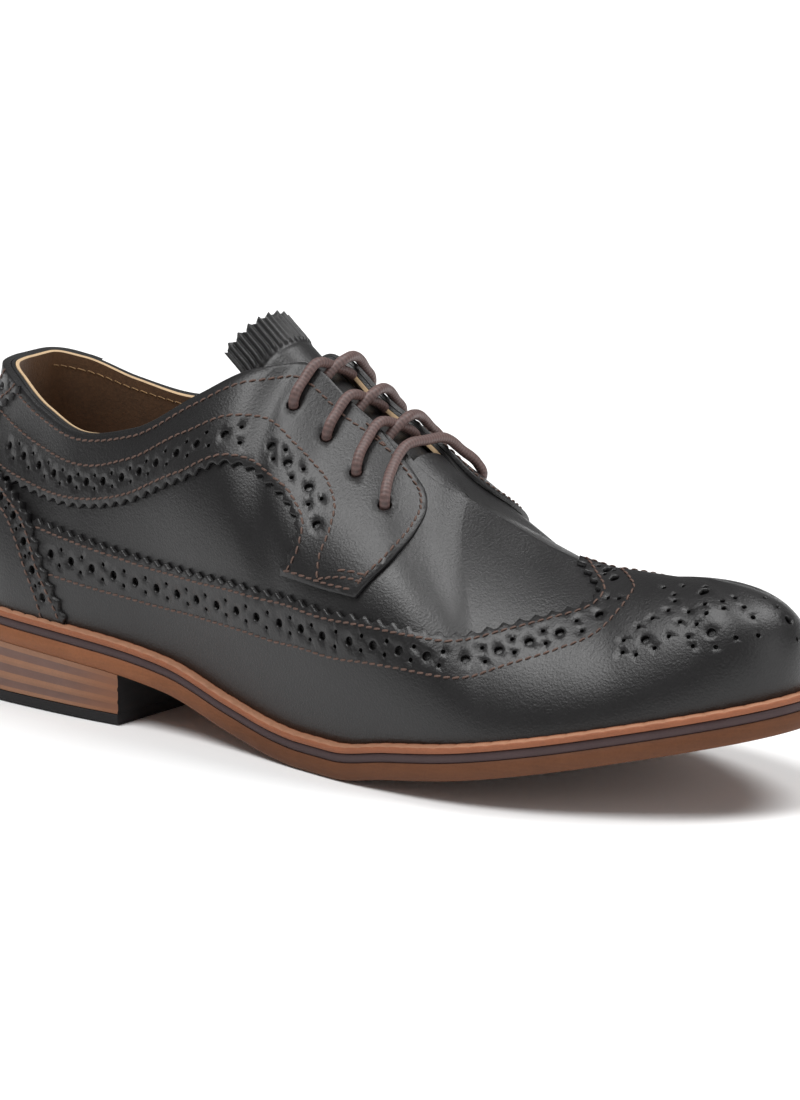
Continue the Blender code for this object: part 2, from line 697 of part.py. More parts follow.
strip_foot = STRIP_EDGE[0][0] + 0.004
foot_stations = [strip_foot] + [v for v in STATIONS if v > strip_foot + 0.01]
back_near, back_far = beside_strip(FOOT_SHARE + 0.015, WING_EDGE[0][1] - 0.015)
low_near = [(float(last.along(v, LATERAL)), FOOT_SHARE) for v in foot_stations]
low_far = [(float(last.along(v, MEDIAL)), FOOT_SHARE) for v in foot_stations[:-1]]
wing_outline = (low_near + low_far[::-1] + back_far + [tuple(p) for p in wing_far]
                + [tuple(p) for p in ridge_far] + [tuple(p) for p in ridge_near[::-1]]
                + [tuple(p) for p in wing_near[::-1]] + back_near[::-1])
sheet("wing_cap", wing_outline, OVER, OVERLAY_THICK)

for side, name in ((LATERAL, "lateral_facing"), (MEDIAL, "medial_facing")):
    edge = resample(places(BAND_EDGE, side), STEP)
    front = resample(places(TAB_FRONT, side), 0.004)
    corner = STRIP_EDGE[-1][0] + BUTT / LAST_LENGTH
    top_stations = [corner] + [v for v in STATIONS if corner + 0.01 < v < 0.69]
    top = [(float(last.along(v, side)), TOP_MARGIN) for v in top_stations[::-1]]
    back = beside_strip(BAND_EDGE[0][1] + 0.01, TOP_MARGIN - 0.01)[0 if side == LATERAL else 1]
    outline = [tuple(p) for p in edge] + [tuple(p) for p in front] + top + back[::-1]
    if side == MEDIAL:
        outline = outline[::-1]
    spots = [(float(last.along(a, side)), b) for a, b in EYELETS]
    sheet(name, outline, OVER, OVERLAY_THICK, spots)

strip_far = strip_far - np.array([last.round, 0.0])
back_low = [(float(last.along(v, MEDIAL)) - last.round, 0.065) for v in (0.138, 0.104, 0.071, 0.042, 0.0194)]
back_low += [(float(last.along(v, LATERAL)), 0.065) for v in (0.0, 0.0194, 0.042, 0.071, 0.104, 0.138)]
back_top = [(float(last.along(v, LATERAL)), TOP_MARGIN) for v in (0.071, 0.042, 0.0194, 0.0)]
back_top += [(float(last.along(v, MEDIAL)) - last.round, TOP_MARGIN) for v in (0.0194, 0.042, 0.071)]
strip_outline = (back_low + [tuple(p) for p in strip_near] + back_top + [tuple(p) for p in strip_far[::-1]])
ring_s = np.concatenate([ring_s, ring_s - last.round])
sheet("heel_strip", strip_outline, OVER, STRIP_THICK)

# Insole lying in the foot of the upper
INSOLE_EDGE = UPPER_WALL + GAP + 0.0009
sole_plate("insole", -INSOLE_EDGE, raised(SOLE_STACK), raised(SOLE_STACK + INSOLE_THICK), (0.30, 0.17, 0.09), 0.8)

# Tongue following the inside of the upper and rising out of the throat
TONGUE_CLEAR = UPPER_WALL + GAP + 0.0006
TONGUE_STATIONS = (0.795, 0.763, 0.739, 0.700, 0.659, 0.618, 0.580)
TONGUE_SHARES = (0.80, 0.85, 0.90, 0.95, 0.985)
lines = []
for v in TONGUE_STATIONS:
    sides = {}
    for side in (LATERAL, MEDIAL):
        s = float(last.along(v, side))
        t = np.array(TONGUE_SHARES)
        t = t if v < 0.75 else 0.80 + (t - 0.80) * 0.62
        p = last.off(np.full(len(t), s), t, 0.0) - last.raw_normal(np.full(len(t), s), t) * TONGUE_CLEAR
        sides[side] = p
    a = sides[LATERAL]
    b = sides[MEDIAL][::-1]
    start = a[-1]
    stop = b[0]
    width = np.linalg.norm(stop - start)
    way_a = unit(a[-1] - a[-2])
    way_b = unit(b[0] - b[1])
    middle = []
    for u in (0.2, 0.4, 0.6, 0.8):
        arch = 0.16 if v < 0.75 else 0.0
        c1 = start + way_a * width * arch
        c2 = stop + way_b * width * arch
        middle.append(start * (1 - u)**3 + 3 * c1 * u * (1 - u)**2 + 3 * c2 * u * u * (1 - u) + stop * u**3)
    lines.append(np.vstack([a, middle, b]))
climb = unit(lines[-1].mean(axis=0) - lines[-3].mean(axis=0))
TONGUE_RISE = 0.135 * LAST_LENGTH
inward = np.array([-climb[2], 0.0, climb[0]])
first = lines[-1]
half = np.abs(first[:, 1]).max()
turn = np.linspace(-1.35, 1.35, first.shape[0])
TOP_RADIUS = 0.054 * LAST_LENGTH
crown = first[first.shape[0] // 2]
for f in (0.18, 0.36, 0.54, 0.72, 0.88, 1.0):
    row = first + climb * TONGUE_RISE * f
    out = (np.abs(first[:, 1]) / half)[:, None]**2
    row[:, 1] *= 1 - 0.30 * f
    row += inward * out * 0.0036 * min(1.0, 2.5 * f)
    drop = TOP_RADIUS * (1 - np.cos(turn))[:, None]
    round_row = crown * np.array([1.0, 0.0, 1.0]) + climb * TONGUE_RISE * f + inward * drop
    round_row[:, 1] = TOP_RADIUS * np.sin(turn)
    ease = min(1.0, f * 1.3)
    row = row * (1 - ease) + round_row * ease
    row -= inward * 0.008 * f * f * LAST_LENGTH
    lines.append(row)
grid = np.array(lines)
du = np.gradient(grid, axis=1)
dv = np.gradient(grid, axis=0)
face_out = unit(np.cross(dv, du))
if face_out[3, 6, 2] < 0:
    face_out = -face_out
under = grid - face_out * TONGUE_THICK
n_rows, n_cols = grid.shape[:2]
verts = np.concatenate([grid.reshape(-1, 3), under.reshape(-1, 3)])
shift = n_rows * n_cols
faces = []
for i in range(n_rows - 1):
    for j in range(n_cols - 1):
        a, b, c, d = i * n_cols + j, i * n_cols + j + 1, (i + 1) * n_cols + j + 1, (i + 1) * n_cols + j
        faces.append((a, b, c, d))
        faces.append((a + shift, d + shift, c + shift, b + shift))
border = [(i, 0) for i in range(n_rows)] + [(n_rows - 1, j) for j in range(1, n_cols)]
border += [(i, n_cols - 1) for i in range(n_rows - 2, -1, -1)] + [(0, j) for j in range(n_cols - 2, 0, -1)]
ids = [i * n_cols + j for i, j in border]
for k in range(len(ids)):
    a, b = ids[k], ids[(k + 1) % len(ids)]
    faces.append((a, b, b + shift, a + shift))
add("tongue", verts, faces, BLACK, 0.45)

# Laces, a bar across the lowest eyelets and a crossing above each of the others
LACE = (0.035, 0.016, 0.012)
SURFACE = OVER + OVERLAY_THICK + GAP + LACE_RADIUS


def curve(points, steps):
    """An even smooth line through a few points."""
    points = np.array(points, float)
    span = np.concatenate([[0], np.cumsum(np.linalg.norm(np.diff(points, axis=0), axis=1))])
    u = np.linspace(0, span[-1], steps)
    return np.stack([smooth_table(u, span, points[:, k]) for k in range(3)], 1)


def tube(name, path, radius, home=None, sides=8):
    path = np.array(path)
    rings = []
    way = unit(np.gradient(path, axis=0))
    side = np.array([0.0, 0.0, 1.0])
    for p, d in zip(path, way):
        u = unit(np.cross(side, d))
        if np.linalg.norm(np.cross(side, d)) < 1e-3:
            u = np.array([1.0, 0.0, 0.0])
        v = np.cross(d, u)
        side = v
        rings.append([p + (u * math.cos(q) + v * math.sin(q)) * radius
                      for q in np.linspace(0, 2 * math.pi, sides, endpoint=False)])
    count = sides
    verts = [p for ring in rings for p in ring]
    faces = []
    for i in range(len(rings) - 1):
        for j in range(count):
            k = (j + 1) % count
            faces.append((i * count + j, i * count + k, (i + 1) * count + k, (i + 1) * count + j))
    faces.append(tuple(range(count))[::-1])
    faces.append(tuple(range((len(rings) - 1) * count, len(rings) * count)))
    return add(name, verts, faces, LACE, 0.6, home)


def lace_point(station, height, side, out):
    p, n = eyelet_frame(station, height, side)
    return p + n * out


def level(number):
    station, height = EYELETS[number]
    ends = {}
    for side in (LATERAL, MEDIAL):
        away = 1.0 - height
        ends[side] = [lace_point(station, height, side, -0.0012), lace_point(station, height, side, 0.0008),
                      lace_point(station, height + away * 0.03, side, SURFACE * 0.80),
                      lace_point(station, height + away * 0.38, side, SURFACE + 0.0012),
                      lace_point(station, height + away * 0.98, side, SURFACE + 0.0004)]
    return ends


base = level(0)
mid = (base[LATERAL][-1] + base[MEDIAL][-1]) / 2 + np.array([0.0, 0.0, 0.0004])
path = curve(base[LATERAL] + [mid] + base[MEDIAL][::-1], 22)
tube("lace_bar", path, LACE_RADIUS)

for number in (1, 2, 3):
    ends = level(number)
    strands = []
    for side in (LATERAL, MEDIAL):
        station, height = EYELETS[number]
        mine = ends[side]
        theirs = ends[-side]
        top = (mine[-1] + theirs[-1]) / 2
        dive = mine[-1] * 0.20 + theirs[-1] * 0.80
        ahead = unit(last.end(last.along(station - 0.04, side)) - last.end(last.along(station, side)))
        down = np.array([-0.62, 0.0, -0.78])
        lift = -0.0004 if side == LATERAL else 0.0022
        points = mine + [top + down * (0.0012 - lift) + ahead * 0.001, dive + down * 0.0034 + ahead * 0.0022]
        strands.append(tube("lace_cross_%d" % number if side == LATERAL else "lace_part_%d" % number,
                            curve(points, 16), LACE_RADIUS, None if side == LATERAL else cutters))
    strands[1].hide_render = True
    strands[1].display_type = "WIRE"
    join = strands[0].modifiers.new("join", "BOOLEAN")
    join.operation = "UNION"
    join.solver = "EXACT"
    join.object = strands[1]
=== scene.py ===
"""Black long-wing lace-up shoe with punched panels, scalloped welt, stacked heel and a plain studio."""

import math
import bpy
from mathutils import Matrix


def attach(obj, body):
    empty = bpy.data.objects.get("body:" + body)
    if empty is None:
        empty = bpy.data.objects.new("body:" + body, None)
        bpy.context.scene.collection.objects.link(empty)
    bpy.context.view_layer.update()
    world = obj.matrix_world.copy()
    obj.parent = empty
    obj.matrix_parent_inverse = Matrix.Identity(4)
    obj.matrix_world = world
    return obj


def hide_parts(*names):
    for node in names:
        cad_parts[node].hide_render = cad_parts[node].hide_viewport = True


bl_info = {
    "name": "Wingtip Oxford",
    "version": (1, 0, 0),
    "blender": (4, 5, 0),
    "location": "View3D > Sidebar > Wingtip Oxford",
    "description": "Builds a punched lace-up shoe panel by panel, with its finishes and studio",
    "category": "Object",
}

import bmesh
import bpy
import numpy as np
from bpy.props import FloatProperty, FloatVectorProperty, PointerProperty
from mathutils import Vector
from mathutils.geometry import delaunay_2d_cdt
from mathutils.kdtree import KDTree

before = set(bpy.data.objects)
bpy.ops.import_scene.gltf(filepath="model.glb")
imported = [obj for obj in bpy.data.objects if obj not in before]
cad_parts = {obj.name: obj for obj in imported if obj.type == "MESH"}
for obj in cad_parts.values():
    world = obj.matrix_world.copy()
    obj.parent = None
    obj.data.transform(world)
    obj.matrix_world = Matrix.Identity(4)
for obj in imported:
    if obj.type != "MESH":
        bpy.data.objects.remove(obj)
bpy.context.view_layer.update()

LATERAL = -1
MEDIAL = 1
ORIGIN_SHARE = 0.1237
THROAT_END = 0.763
CHART_TALL = 0.075

# Bottom line of the outsole: share of length, share of the heel's rise
BOTTOM_LINE = (
    (-0.040, 1.30), (0.081, 1.17), (0.240, 1.00), (0.329, 0.78), (0.417, 0.32),
    (0.491, 0.045), (0.523, 0.0), (0.572, 0.0), (0.647, 0.22), (0.724, 0.42),
    (0.806, 0.70), (0.901, 1.07), (1.030, 1.59),
)
# Plan of the foot line: share of length, lateral and medial share of the half ball
PLAN = (
    (0.000, 0.000, 0.000), (0.0194, 0.348, 0.348), (0.071, 0.590, 0.590),
    (0.138, 0.665, 0.661), (0.223, 0.696, 0.628), (0.311, 0.694, 0.573),
    (0.406, 0.738, 0.562), (0.512, 0.855, 0.650), (0.618, 0.974, 0.826),
    (0.710, 1.000, 0.947), (0.795, 0.910, 0.925), (0.876, 0.700, 0.782),
    (0.947, 0.432, 0.562), (0.986, 0.194, 0.348), (1.000, -0.088, 0.088),
)
# Collar, throat and ridge: station, along share, lateral half, lateral height, medial half, medial height
TOP_LINE = (
    (0.000, 0.039, 0.000, 1.000, 0.000, 1.000), (0.0194, 0.045, 0.189, 0.996, 0.189, 1.006),
    (0.071, 0.076, 0.335, 0.963, 0.339, 0.986), (0.138, 0.127, 0.463, 0.898, 0.480, 0.926),
    (0.223, 0.194, 0.557, 0.850, 0.562, 0.887), (0.311, 0.269, 0.579, 0.889, 0.562, 0.912),
    (0.406, 0.343, 0.507, 1.006, 0.496, 1.004), (0.488, 0.401, 0.348, 1.094, 0.348, 1.086),
    (0.541, 0.438, 0.181, 1.109, 0.181, 1.098), (0.618, 0.495, 0.161, 1.008, 0.161, 0.998),
    (0.700, 0.562, 0.176, 0.891, 0.176, 0.883), (0.739, 0.597, 0.132, 0.812, 0.132, 0.808),
    (0.763, 0.622, 0.000, 0.763, 0.000, 0.763), (0.795, 0.668, 0.000, 0.712, 0.000, 0.712),
    (0.837, 0.728, 0.000, 0.652, 0.000, 0.652), (0.887, 0.795, 0.000, 0.611, 0.000, 0.611),
    (0.947, 0.862, 0.000, 0.611, 0.000, 0.611), (0.986, 0.901, 0.000, 0.621, 0.000, 0.621),
    (1.000, 0.915, 0.000, 0.621, 0.000, 0.621),
)
# Wall profile: station, lean, rise share, end slope, end share, side blend
WALL_LINE = (
    (0.000, 9, 0.42, 80, 0.45, 1.0), (0.071, 9, 0.42, 84, 0.42, 1.0),
    (0.138, 9, 0.42, 86, 0.35, 1.0), (0.223, 10, 0.45, 78, 0.30, 1.0),
    (0.311, 12, 0.45, 66, 0.32, 1.0), (0.406, 13, 0.45, 52, 0.36, 1.0),
    (0.512, 12, 0.46, 44, 0.40, 1.0), (0.618, 9, 0.48, 40, 0.42, 1.0),
    (0.710, 7, 0.41, 31, 0.35, 1.0), (0.763, 6, 0.35, 22, 0.27, 0.85),
    (0.795, 5, 0.36, 18, 0.24, 0.6), (0.876, 5, 0.46, 12, 0.34, 0.15),
    (0.947, 6, 0.60, 8, 0.50, 0.0), (0.986, 7, 0.62, 7, 0.62, 0.0),
    (1.000, 7, 0.62, 6, 0.64, 0.0),
)
# Panel lines, each a station and a share up the wall
WING_EDGE = (
    (0.141, 0.448), (0.202, 0.433), (0.270, 0.405), (0.345, 0.375), (0.449, 0.358),
    (0.577, 0.340), (0.650, 0.353), (0.703, 0.370), (0.742, 0.390), (0.795, 0.477),
    (0.827, 0.560), (0.848, 0.625), (0.866, 0.707), (0.875, 0.797), (0.868, 0.900), (0.857, 1.000),
)
WING_INNER_ROW = (
    (0.150, 0.225), (0.207, 0.215), (0.261, 0.210), (0.343, 0.213), (0.394, 0.228),
    (0.465, 0.232), (0.529, 0.224), (0.590, 0.222), (0.675, 0.235), (0.752, 0.267),
    (0.777, 0.306), (0.802, 0.350), (0.829, 0.407), (0.856, 0.481), (0.883, 0.613),
    (0.900, 0.753), (0.907, 0.854), (0.904, 0.922), (0.896, 1.000),
)
BAND_EDGE = (
    (0.040, 0.622), (0.080, 0.606), (0.115, 0.600), (0.170, 0.595), (0.230, 0.615),
    (0.281, 0.645), (0.346, 0.692), (0.417, 0.708), (0.463, 0.722), (0.492, 0.722),
    (0.518, 0.705), (0.548, 0.668), (0.578, 0.640), (0.590, 0.600), (0.582, 0.520),
    (0.563, 0.445), (0.548, 0.402),
)
BAND_TOP_ROW = (
    (0.040, 0.842), (0.059, 0.836), (0.133, 0.826), (0.194, 0.823), (0.253, 0.826),
    (0.305, 0.850), (0.361, 0.864), (0.427, 0.860), (0.474, 0.858), (0.502, 0.852),
    (0.537, 0.831), (0.572, 0.807), (0.603, 0.795), (0.630, 0.767), (0.642, 0.707),
    (0.636, 0.630), (0.613, 0.505), (0.604, 0.440),
)
TAB_BOTTOM = ((0.548, 0.402), (0.606, 0.414), (0.648, 0.420))
TAB_FRONT = (
    (0.648, 0.420), (0.671, 0.491), (0.706, 0.608), (0.733, 0.760), (0.739, 0.853),
    (0.734, 0.918), (0.719, 0.955), (0.689, 0.980), (0.650, 1.000),
)
STRIP_EDGE = (
    (0.188, 0.020), (0.186, 0.060), (0.176, 0.134), (0.159, 0.253), (0.148, 0.354),
    (0.130, 0.458), (0.092, 0.550), (0.060, 0.620), (0.040, 0.700), (0.030, 0.790),
    (0.048, 0.880), (0.078, 0.960), (0.090, 1.000),
)
EYELETS = ((0.700, 0.777), (0.662, 0.837), (0.612, 0.882), (0.559, 0.890))
# Toe pattern of punched holes on each side: station, share up the wall, big or small
MEDALLION = (
    (0.909, 0.476, 1), (0.962, 0.483, 1), (0.970, 0.809, 1), (0.891, 0.478, 0), (0.889, 0.413, 0),
    (0.900, 0.393, 0), (0.916, 0.421, 0), (0.929, 0.486, 0), (0.905, 0.551, 0), (0.918, 0.606, 0),
    (0.933, 0.666, 0), (0.941, 0.744, 0), (0.943, 0.802, 0), (0.936, 0.860, 0), (0.957, 0.887, 0),
    (0.975, 0.867, 0), (0.965, 0.697, 0), (0.978, 0.722, 0), (0.976, 0.656, 0), (0.963, 0.621, 0),
    (0.950, 0.656, 0), (0.940, 0.581, 0), (0.953, 0.556, 0), (0.944, 0.478, 0), (0.946, 0.416, 0),
    (0.963, 0.386, 0), (0.977, 0.436, 0), (0.9885, 0.684, 0), (0.9885, 0.775, 0), (0.989, 0.592, 0),
    (0.988, 0.452, 0),
)
# The same pattern down the middle of the toe
MIDDLE_PUNCHES = ((1.0, 0.520, 1), (1.0, 0.636, 0), (1.0, 0.735, 0), (1.0, 0.371, 0))
# Soft dents and folds: station, share, side, half length, half height, turn, depth in millimetres
FOLDS = (
    (0.690, 0.36, LATERAL, 0.060, 0.130, 0.4, -0.22), (0.745, 0.62, LATERAL, 0.045, 0.180, 0.8, -0.22),
    (0.690, 0.36, MEDIAL, 0.060, 0.130, 0.4, -0.22), (0.745, 0.62, MEDIAL, 0.045, 0.180, 0.8, -0.22),
    (0.420, 0.50, LATERAL, 0.130, 0.180, 0.1, -0.35), (0.400, 0.50, MEDIAL, 0.130, 0.180, 0.1, -0.35),
    (0.930, 0.30, LATERAL, 0.060, 0.180, 0.0, -0.20),
)


def metres(label, text, value):
    return FloatProperty(name=label, description=text, default=value, unit="LENGTH")


def tint(label, text, value):
    return FloatVectorProperty(name=label, description=text, default=value, subtype="COLOR", size=3,
                               min=0, max=1)


class ShoeSizes(bpy.types.PropertyGroup):
    """Lengths that set the shoe's parts."""
    last_length: metres("Last length", "Length of the last", 0.2830)
    half_ball: metres("Half ball", "Half width at the ball", 0.0454)
    collar_height: metres("Collar height", "Height of the back seam", 0.0976)
    heel_rise: metres("Heel rise", "Height of the heel under the outsole", 0.0156)
    heel_length: metres("Heel length", "Length of the heel on the last", 0.2668 * 0.2830)
    outsole_thick: metres("Outsole", "Outsole thickness", 0.0051)
    midsole_thick: metres("Midsole", "Midsole thickness", 0.0027)
    welt_thick: metres("Welt", "Welt thickness", 0.0022)
    welt_margin: metres("Welt margin", "How far the welt stands out", 0.0050)
    wall: metres("Wall", "Upper and lining together", 0.0024)
    overlay: metres("Overlay", "Thickness of the laid-on panels", 0.0013)
    lift_thick: metres("Top lift", "Thickness of the heel's top lift", 0.0032)
    lace_radius: metres("Lace radius", "Half thickness of the lace", 0.0015)
    eyelet_radius: metres("Eyelet radius", "Half width of a lace hole", 0.0018)
    big_punch: metres("Big punch", "Radius of the large holes", 0.00125)
    small_punch: metres("Small punch", "Radius of the small holes", 0.00058)
    stitch_pitch: metres("Stitch pitch", "Length of one stitch", 0.0026)
    thread_radius: metres("Thread radius", "Half thickness of the thread", 0.00030)
    tooth_pitch: metres("Tooth pitch", "Pitch of the gimped edge", 0.0046)
    tooth_depth: metres("Tooth depth", "Depth of the gimped edge", 0.0015)


class ShoeColours(bpy.types.PropertyGroup):
    """Colours of the shoe's finishes."""
    leather: tint("Leather", "Black calf leather", (0.0062, 0.0058, 0.0061))
    thread: tint("Thread", "Panel stitching", (0.088, 0.048, 0.035))
    lining: tint("Lining", "Tan leather lining", (0.30, 0.175, 0.075))
    heel_lining: tint("Heel lining", "Suede lining at the heel", (0.115, 0.055, 0.022))
    cut_edge: tint("Cut edge", "Pale cut edge of the lining", (0.56, 0.40, 0.24))
    insole: tint("Insole", "Insole leather", (0.26, 0.15, 0.07))
    welt: tint("Welt", "Welt leather", (0.29, 0.105, 0.052))
    welt_thread: tint("Welt thread", "Thread on the welt", (0.40, 0.195, 0.115))
    midsole: tint("Midsole", "Plum edge of the midsole", (0.066, 0.042, 0.043))
    outsole: tint("Outsole", "Brown edge of the outsole", (0.122, 0.046, 0.020))
    ridge: tint("Heel ridge", "Light layer of the heel", (0.27, 0.130, 0.072))
    groove: tint("Heel groove", "Dark layer of the heel", (0.15, 0.080, 0.062))
    lift: tint("Top lift", "Black rubber", (0.018, 0.017, 0.018))
    lace: tint("Lace", "Waxed brown cord", (0.125, 0.075, 0.068))
    floor: tint("Floor", "Studio floor", (0.92, 0.92, 0.92))


def smooth_table(x, xs, ys):
    """A smooth line through a table that never overshoots its points."""
    xs = np.asarray(xs, float)
    ys = np.asarray(ys, float)
    h = np.diff(xs)
    d = np.diff(ys) / h
    same = d[:-1] * d[1:] > 0
    left = np.where(same, d[:-1], 1.0)
    right = np.where(same, d[1:], 1.0)
    w1 = 2 * h[1:] + h[:-1]
    w2 = h[1:] + 2 * h[:-1]
    m = np.concatenate([[d[0]], np.where(same, (w1 + w2) / (w1 / left + w2 / right), 0.0), [d[-1]]])
    x = np.clip(x, xs[0], xs[-1])
    i = np.clip(np.searchsorted(xs, x, side="right") - 1, 0, len(h) - 1)
    t = (x - xs[i]) / h[i]
    rise = ys[i] * (2 * t**3 - 3 * t**2 + 1) + ys[i + 1] * (3 * t**2 - 2 * t**3)
    return rise + h[i] * (m[i] * (t**3 - 2 * t**2 + t) + m[i + 1] * (t**3 - t**2))


def unit(v):
    """Directions of length one."""
    return v / np.maximum(np.linalg.norm(v, axis=-1, keepdims=True), 1e-12)


def ease(x):
    """A soft step from 0 to 1."""
    x = np.clip(x, 0.0, 1.0)
    return x * x * (3 - 2 * x)


def travelled(points):
    """Distance gone at each point of a path."""
    return np.concatenate([[0], np.cumsum(np.linalg.norm(np.diff(points, axis=0), axis=1))])


def arched(a, b, c, d, u):
    """A curve from a to d that leaves towards b and arrives from c."""
    return a * (1 - u)**3 + 3 * b * u * (1 - u)**2 + 3 * c * u * u * (1 - u) + d * u**3


def quads(r, count):
    """Faces between one closed ring of points and the next."""
    return [(r * count + i, r * count + (i + 1) % count, (r + 1) * count + (i + 1) % count,
             (r + 1) * count + i) for i in range(count)]


def cap(r, count):
    """Faces that close a ring, paired from its two ends."""
    base = r * count
    return [(base + i, base + i + 1, base + count - 2 - i, base + count - 1 - i)
            for i in range(count // 2 - 1)]


class Last:
    """The outer surface of the upper, by place round the foot line and share up the wall."""

    def __init__(self, sizes):
        self.length = sizes.last_length
        self.rise = sizes.heel_rise
        self.stack = sizes.outsole_thick + sizes.midsole_thick + 0.0006
        plan = np.array(PLAN)
        near = np.stack([plan[:, 0] * self.length, -plan[:, 1] * sizes.half_ball], 1)
        far = np.stack([plan[:, 0] * self.length, plan[:, 2] * sizes.half_ball], 1)[-2:0:-1]
        ring = np.vstack([near, far])
        ring[:, 0] -= ORIGIN_SHARE * self.length
        step = np.linalg.norm(np.diff(np.vstack([ring, ring[:1]]), axis=0), axis=1)
        self.round = step.sum()
        self.knots = np.concatenate([[0.0], np.cumsum(step)[:-1]])
        self.ring = ring
        self.second = self.bend(self.knots, self.round, ring)
        count = len(plan)
        self.toe = self.knots[count - 1]
        near_knots = self.knots[:count]
        far_knots = np.concatenate([[self.round], self.knots[:count - 1:-1], [self.toe]])
        self.dense = np.linspace(0.0, 1.0, 4001)
        self.dense_near = smooth_table(self.dense, plan[:, 0], near_knots)
        self.dense_far = smooth_table(self.dense, plan[:, 0], far_knots)
        top = np.array(TOP_LINE)
        scale = np.array([self.length, sizes.half_ball, sizes.collar_height])
        near_top = np.stack([top[:, 1] - ORIGIN_SHARE, -top[:, 2], top[:, 3]], 1) * scale
        far_top = np.stack([top[:, 1] - ORIGIN_SHARE, top[:, 4], top[:, 5]], 1) * scale
        self.near_top = self.folded(np.column_stack([top[:, 0], near_top]), 2)
        self.far_top = self.folded(np.column_stack([top[:, 0], far_top]), 2)
        self.wall = self.folded(np.array(WALL_LINE, float), None)
        folds = np.array(FOLDS, float)
        self.folds = [(self.along(f[0], int(f[2])), f) for f in folds]

    def bottom(self, x):
        """Height of the outsole's underside at a place along the shoe."""
        table = np.array(BOTTOM_LINE)
        share = np.asarray(x, float) / self.length + ORIGIN_SHARE
        return smooth_table(share, table[:, 0], table[:, 1]) * self.rise

    @staticmethod
    def folded(table, flip):
        """The table carried on past both ends as its own mirror image."""
        before = table[1:3][::-1].copy()
        before[:, 0] *= -1
        if flip is not None:
            before[:, flip] *= -1
        after = table[-3:-1][::-1].copy()
        after[:, 0] = 2 - after[:, 0]
        return np.vstack([before, table, after])

    @staticmethod
    def bend(knots, length, values):
        """Second slopes of the smooth closed line through the values."""
        count = len(knots)
        h = np.diff(np.append(knots, knots[0] + length))
        system = np.zeros((count, count))
        right = np.zeros_like(values)
        for i in range(count):
            before = (i - 1) % count
            after = (i + 1) % count
            system[i, before] += h[before]
            system[i, i] += 2 * (h[before] + h[i])
            system[i, after] += h[i]
            right[i] = 6 * ((values[after] - values[i]) / h[i] - (values[i] - values[before]) / h[before])
        return np.linalg.solve(system, right)

    def along(self, station, side):
        """Distance round the foot line of a station on one side."""
        places = self.dense_near if side == LATERAL else self.dense_far
        return np.interp(station, self.dense, places)

    def station(self, s):
        """Station along the last and which side it lies on."""
        s = np.mod(np.asarray(s, float), self.round)
        near = s <= self.toe
        on_near = np.interp(s, self.dense_near, self.dense)
        on_far = np.interp(s, self.dense_far[::-1], self.dense[::-1])
        return np.where(near, on_near, on_far), near

    def plan(self, s):
        """Place on the foot line, seen from above."""
        s = np.mod(np.asarray(s, float), self.round)
        count = len(self.knots)
        i = np.clip(np.searchsorted(self.knots, s, side="right") - 1, 0, count - 1)
        j = (i + 1) % count
        h = np.diff(np.append(self.knots, self.round))[i][..., None]
        a = (s - self.knots[i])[..., None]
        c = h - a
        bent = (self.second[i] * c**3 + self.second[j] * a**3) / (6 * h)
        line = (self.ring[i] / h - self.second[i] * h / 6) * c
        return bent + line + (self.ring[j] / h - self.second[j] * h / 6) * a

    def side(self, s):
        """Level direction out of the foot line."""
        small = 5e-5
        d = unit(self.plan(np.asarray(s) + small) - self.plan(np.asarray(s) - small))
        return np.stack([d[..., 1], -d[..., 0]], -1)

    def end_at(self, station, near):
        """Where the wall ends: the collar, the throat or the ridge."""
        near_p, far_p = (np.stack([smooth_table(station, rows[:, 0], rows[:, k]) for k in (1, 2, 3)], -1)
                         for rows in (self.near_top, self.far_top))
        return np.where(near[..., None], near_p, far_p)

    def point(self, s, t):
        """Place on the wall, on a curve from the foot line up to the wall's end."""
        s, t = np.broadcast_arrays(np.asarray(s, float), np.asarray(t, float))
        base = self.plan(s)
        foot = np.concatenate([base, (self.bottom(base[..., 0]) + self.stack)[..., None]], -1)
        at, near = self.station(s)
        end = self.end_at(at, near)
        side = self.side(s)
        lean, rise, slope, share, blend = (
            smooth_table(at, self.wall[:, 0], self.wall[:, k])[..., None] for k in range(1, 6))
        height = end[..., 2:3] - foot[..., 2:3]
        reach = np.linalg.norm(end - foot, axis=-1, keepdims=True)
        lean = np.radians(lean)
        slope = np.radians(slope)
        up = np.zeros_like(foot)
        up[..., 2] = 1.0
        side_3d = np.concatenate([side, np.zeros_like(height)], -1)
        first = foot + rise * height * (up * np.cos(lean) + side_3d * np.sin(lean))
        level = unit(unit(foot[..., :2] - end[..., :2]) * (1 - blend) + side * blend)
        change = self.end_at(np.minimum(at + 0.004, 1.0), near) - self.end_at(at - 0.004, near)
        run = np.where(np.abs(change[..., 0:1]) < 1e-9, 1e-9, change[..., 0:1])
        ridge = np.clip(change[..., 2:3] / run, -1, 1)
        drop = level[..., 0:1] * ridge * (1 - blend) * np.cos(slope) - np.sin(slope)
        second = end + share * reach * np.concatenate([level * np.cos(slope), drop], -1)
        t = t[..., None]
        return foot * (1 - t)**3 + 3 * first * t * (1 - t)**2 + 3 * second * t**2 * (1 - t) + end * t**3

    def raw_normal(self, s, t):
        ds = 1e-4
        dt = 2e-3
        a = self.point(s + ds, t) - self.point(s - ds, t)
        b = self.point(s, np.clip(t + dt, 0, 1)) - self.point(s, np.clip(t - dt, 0, 1))
        return unit(np.cross(a, b))

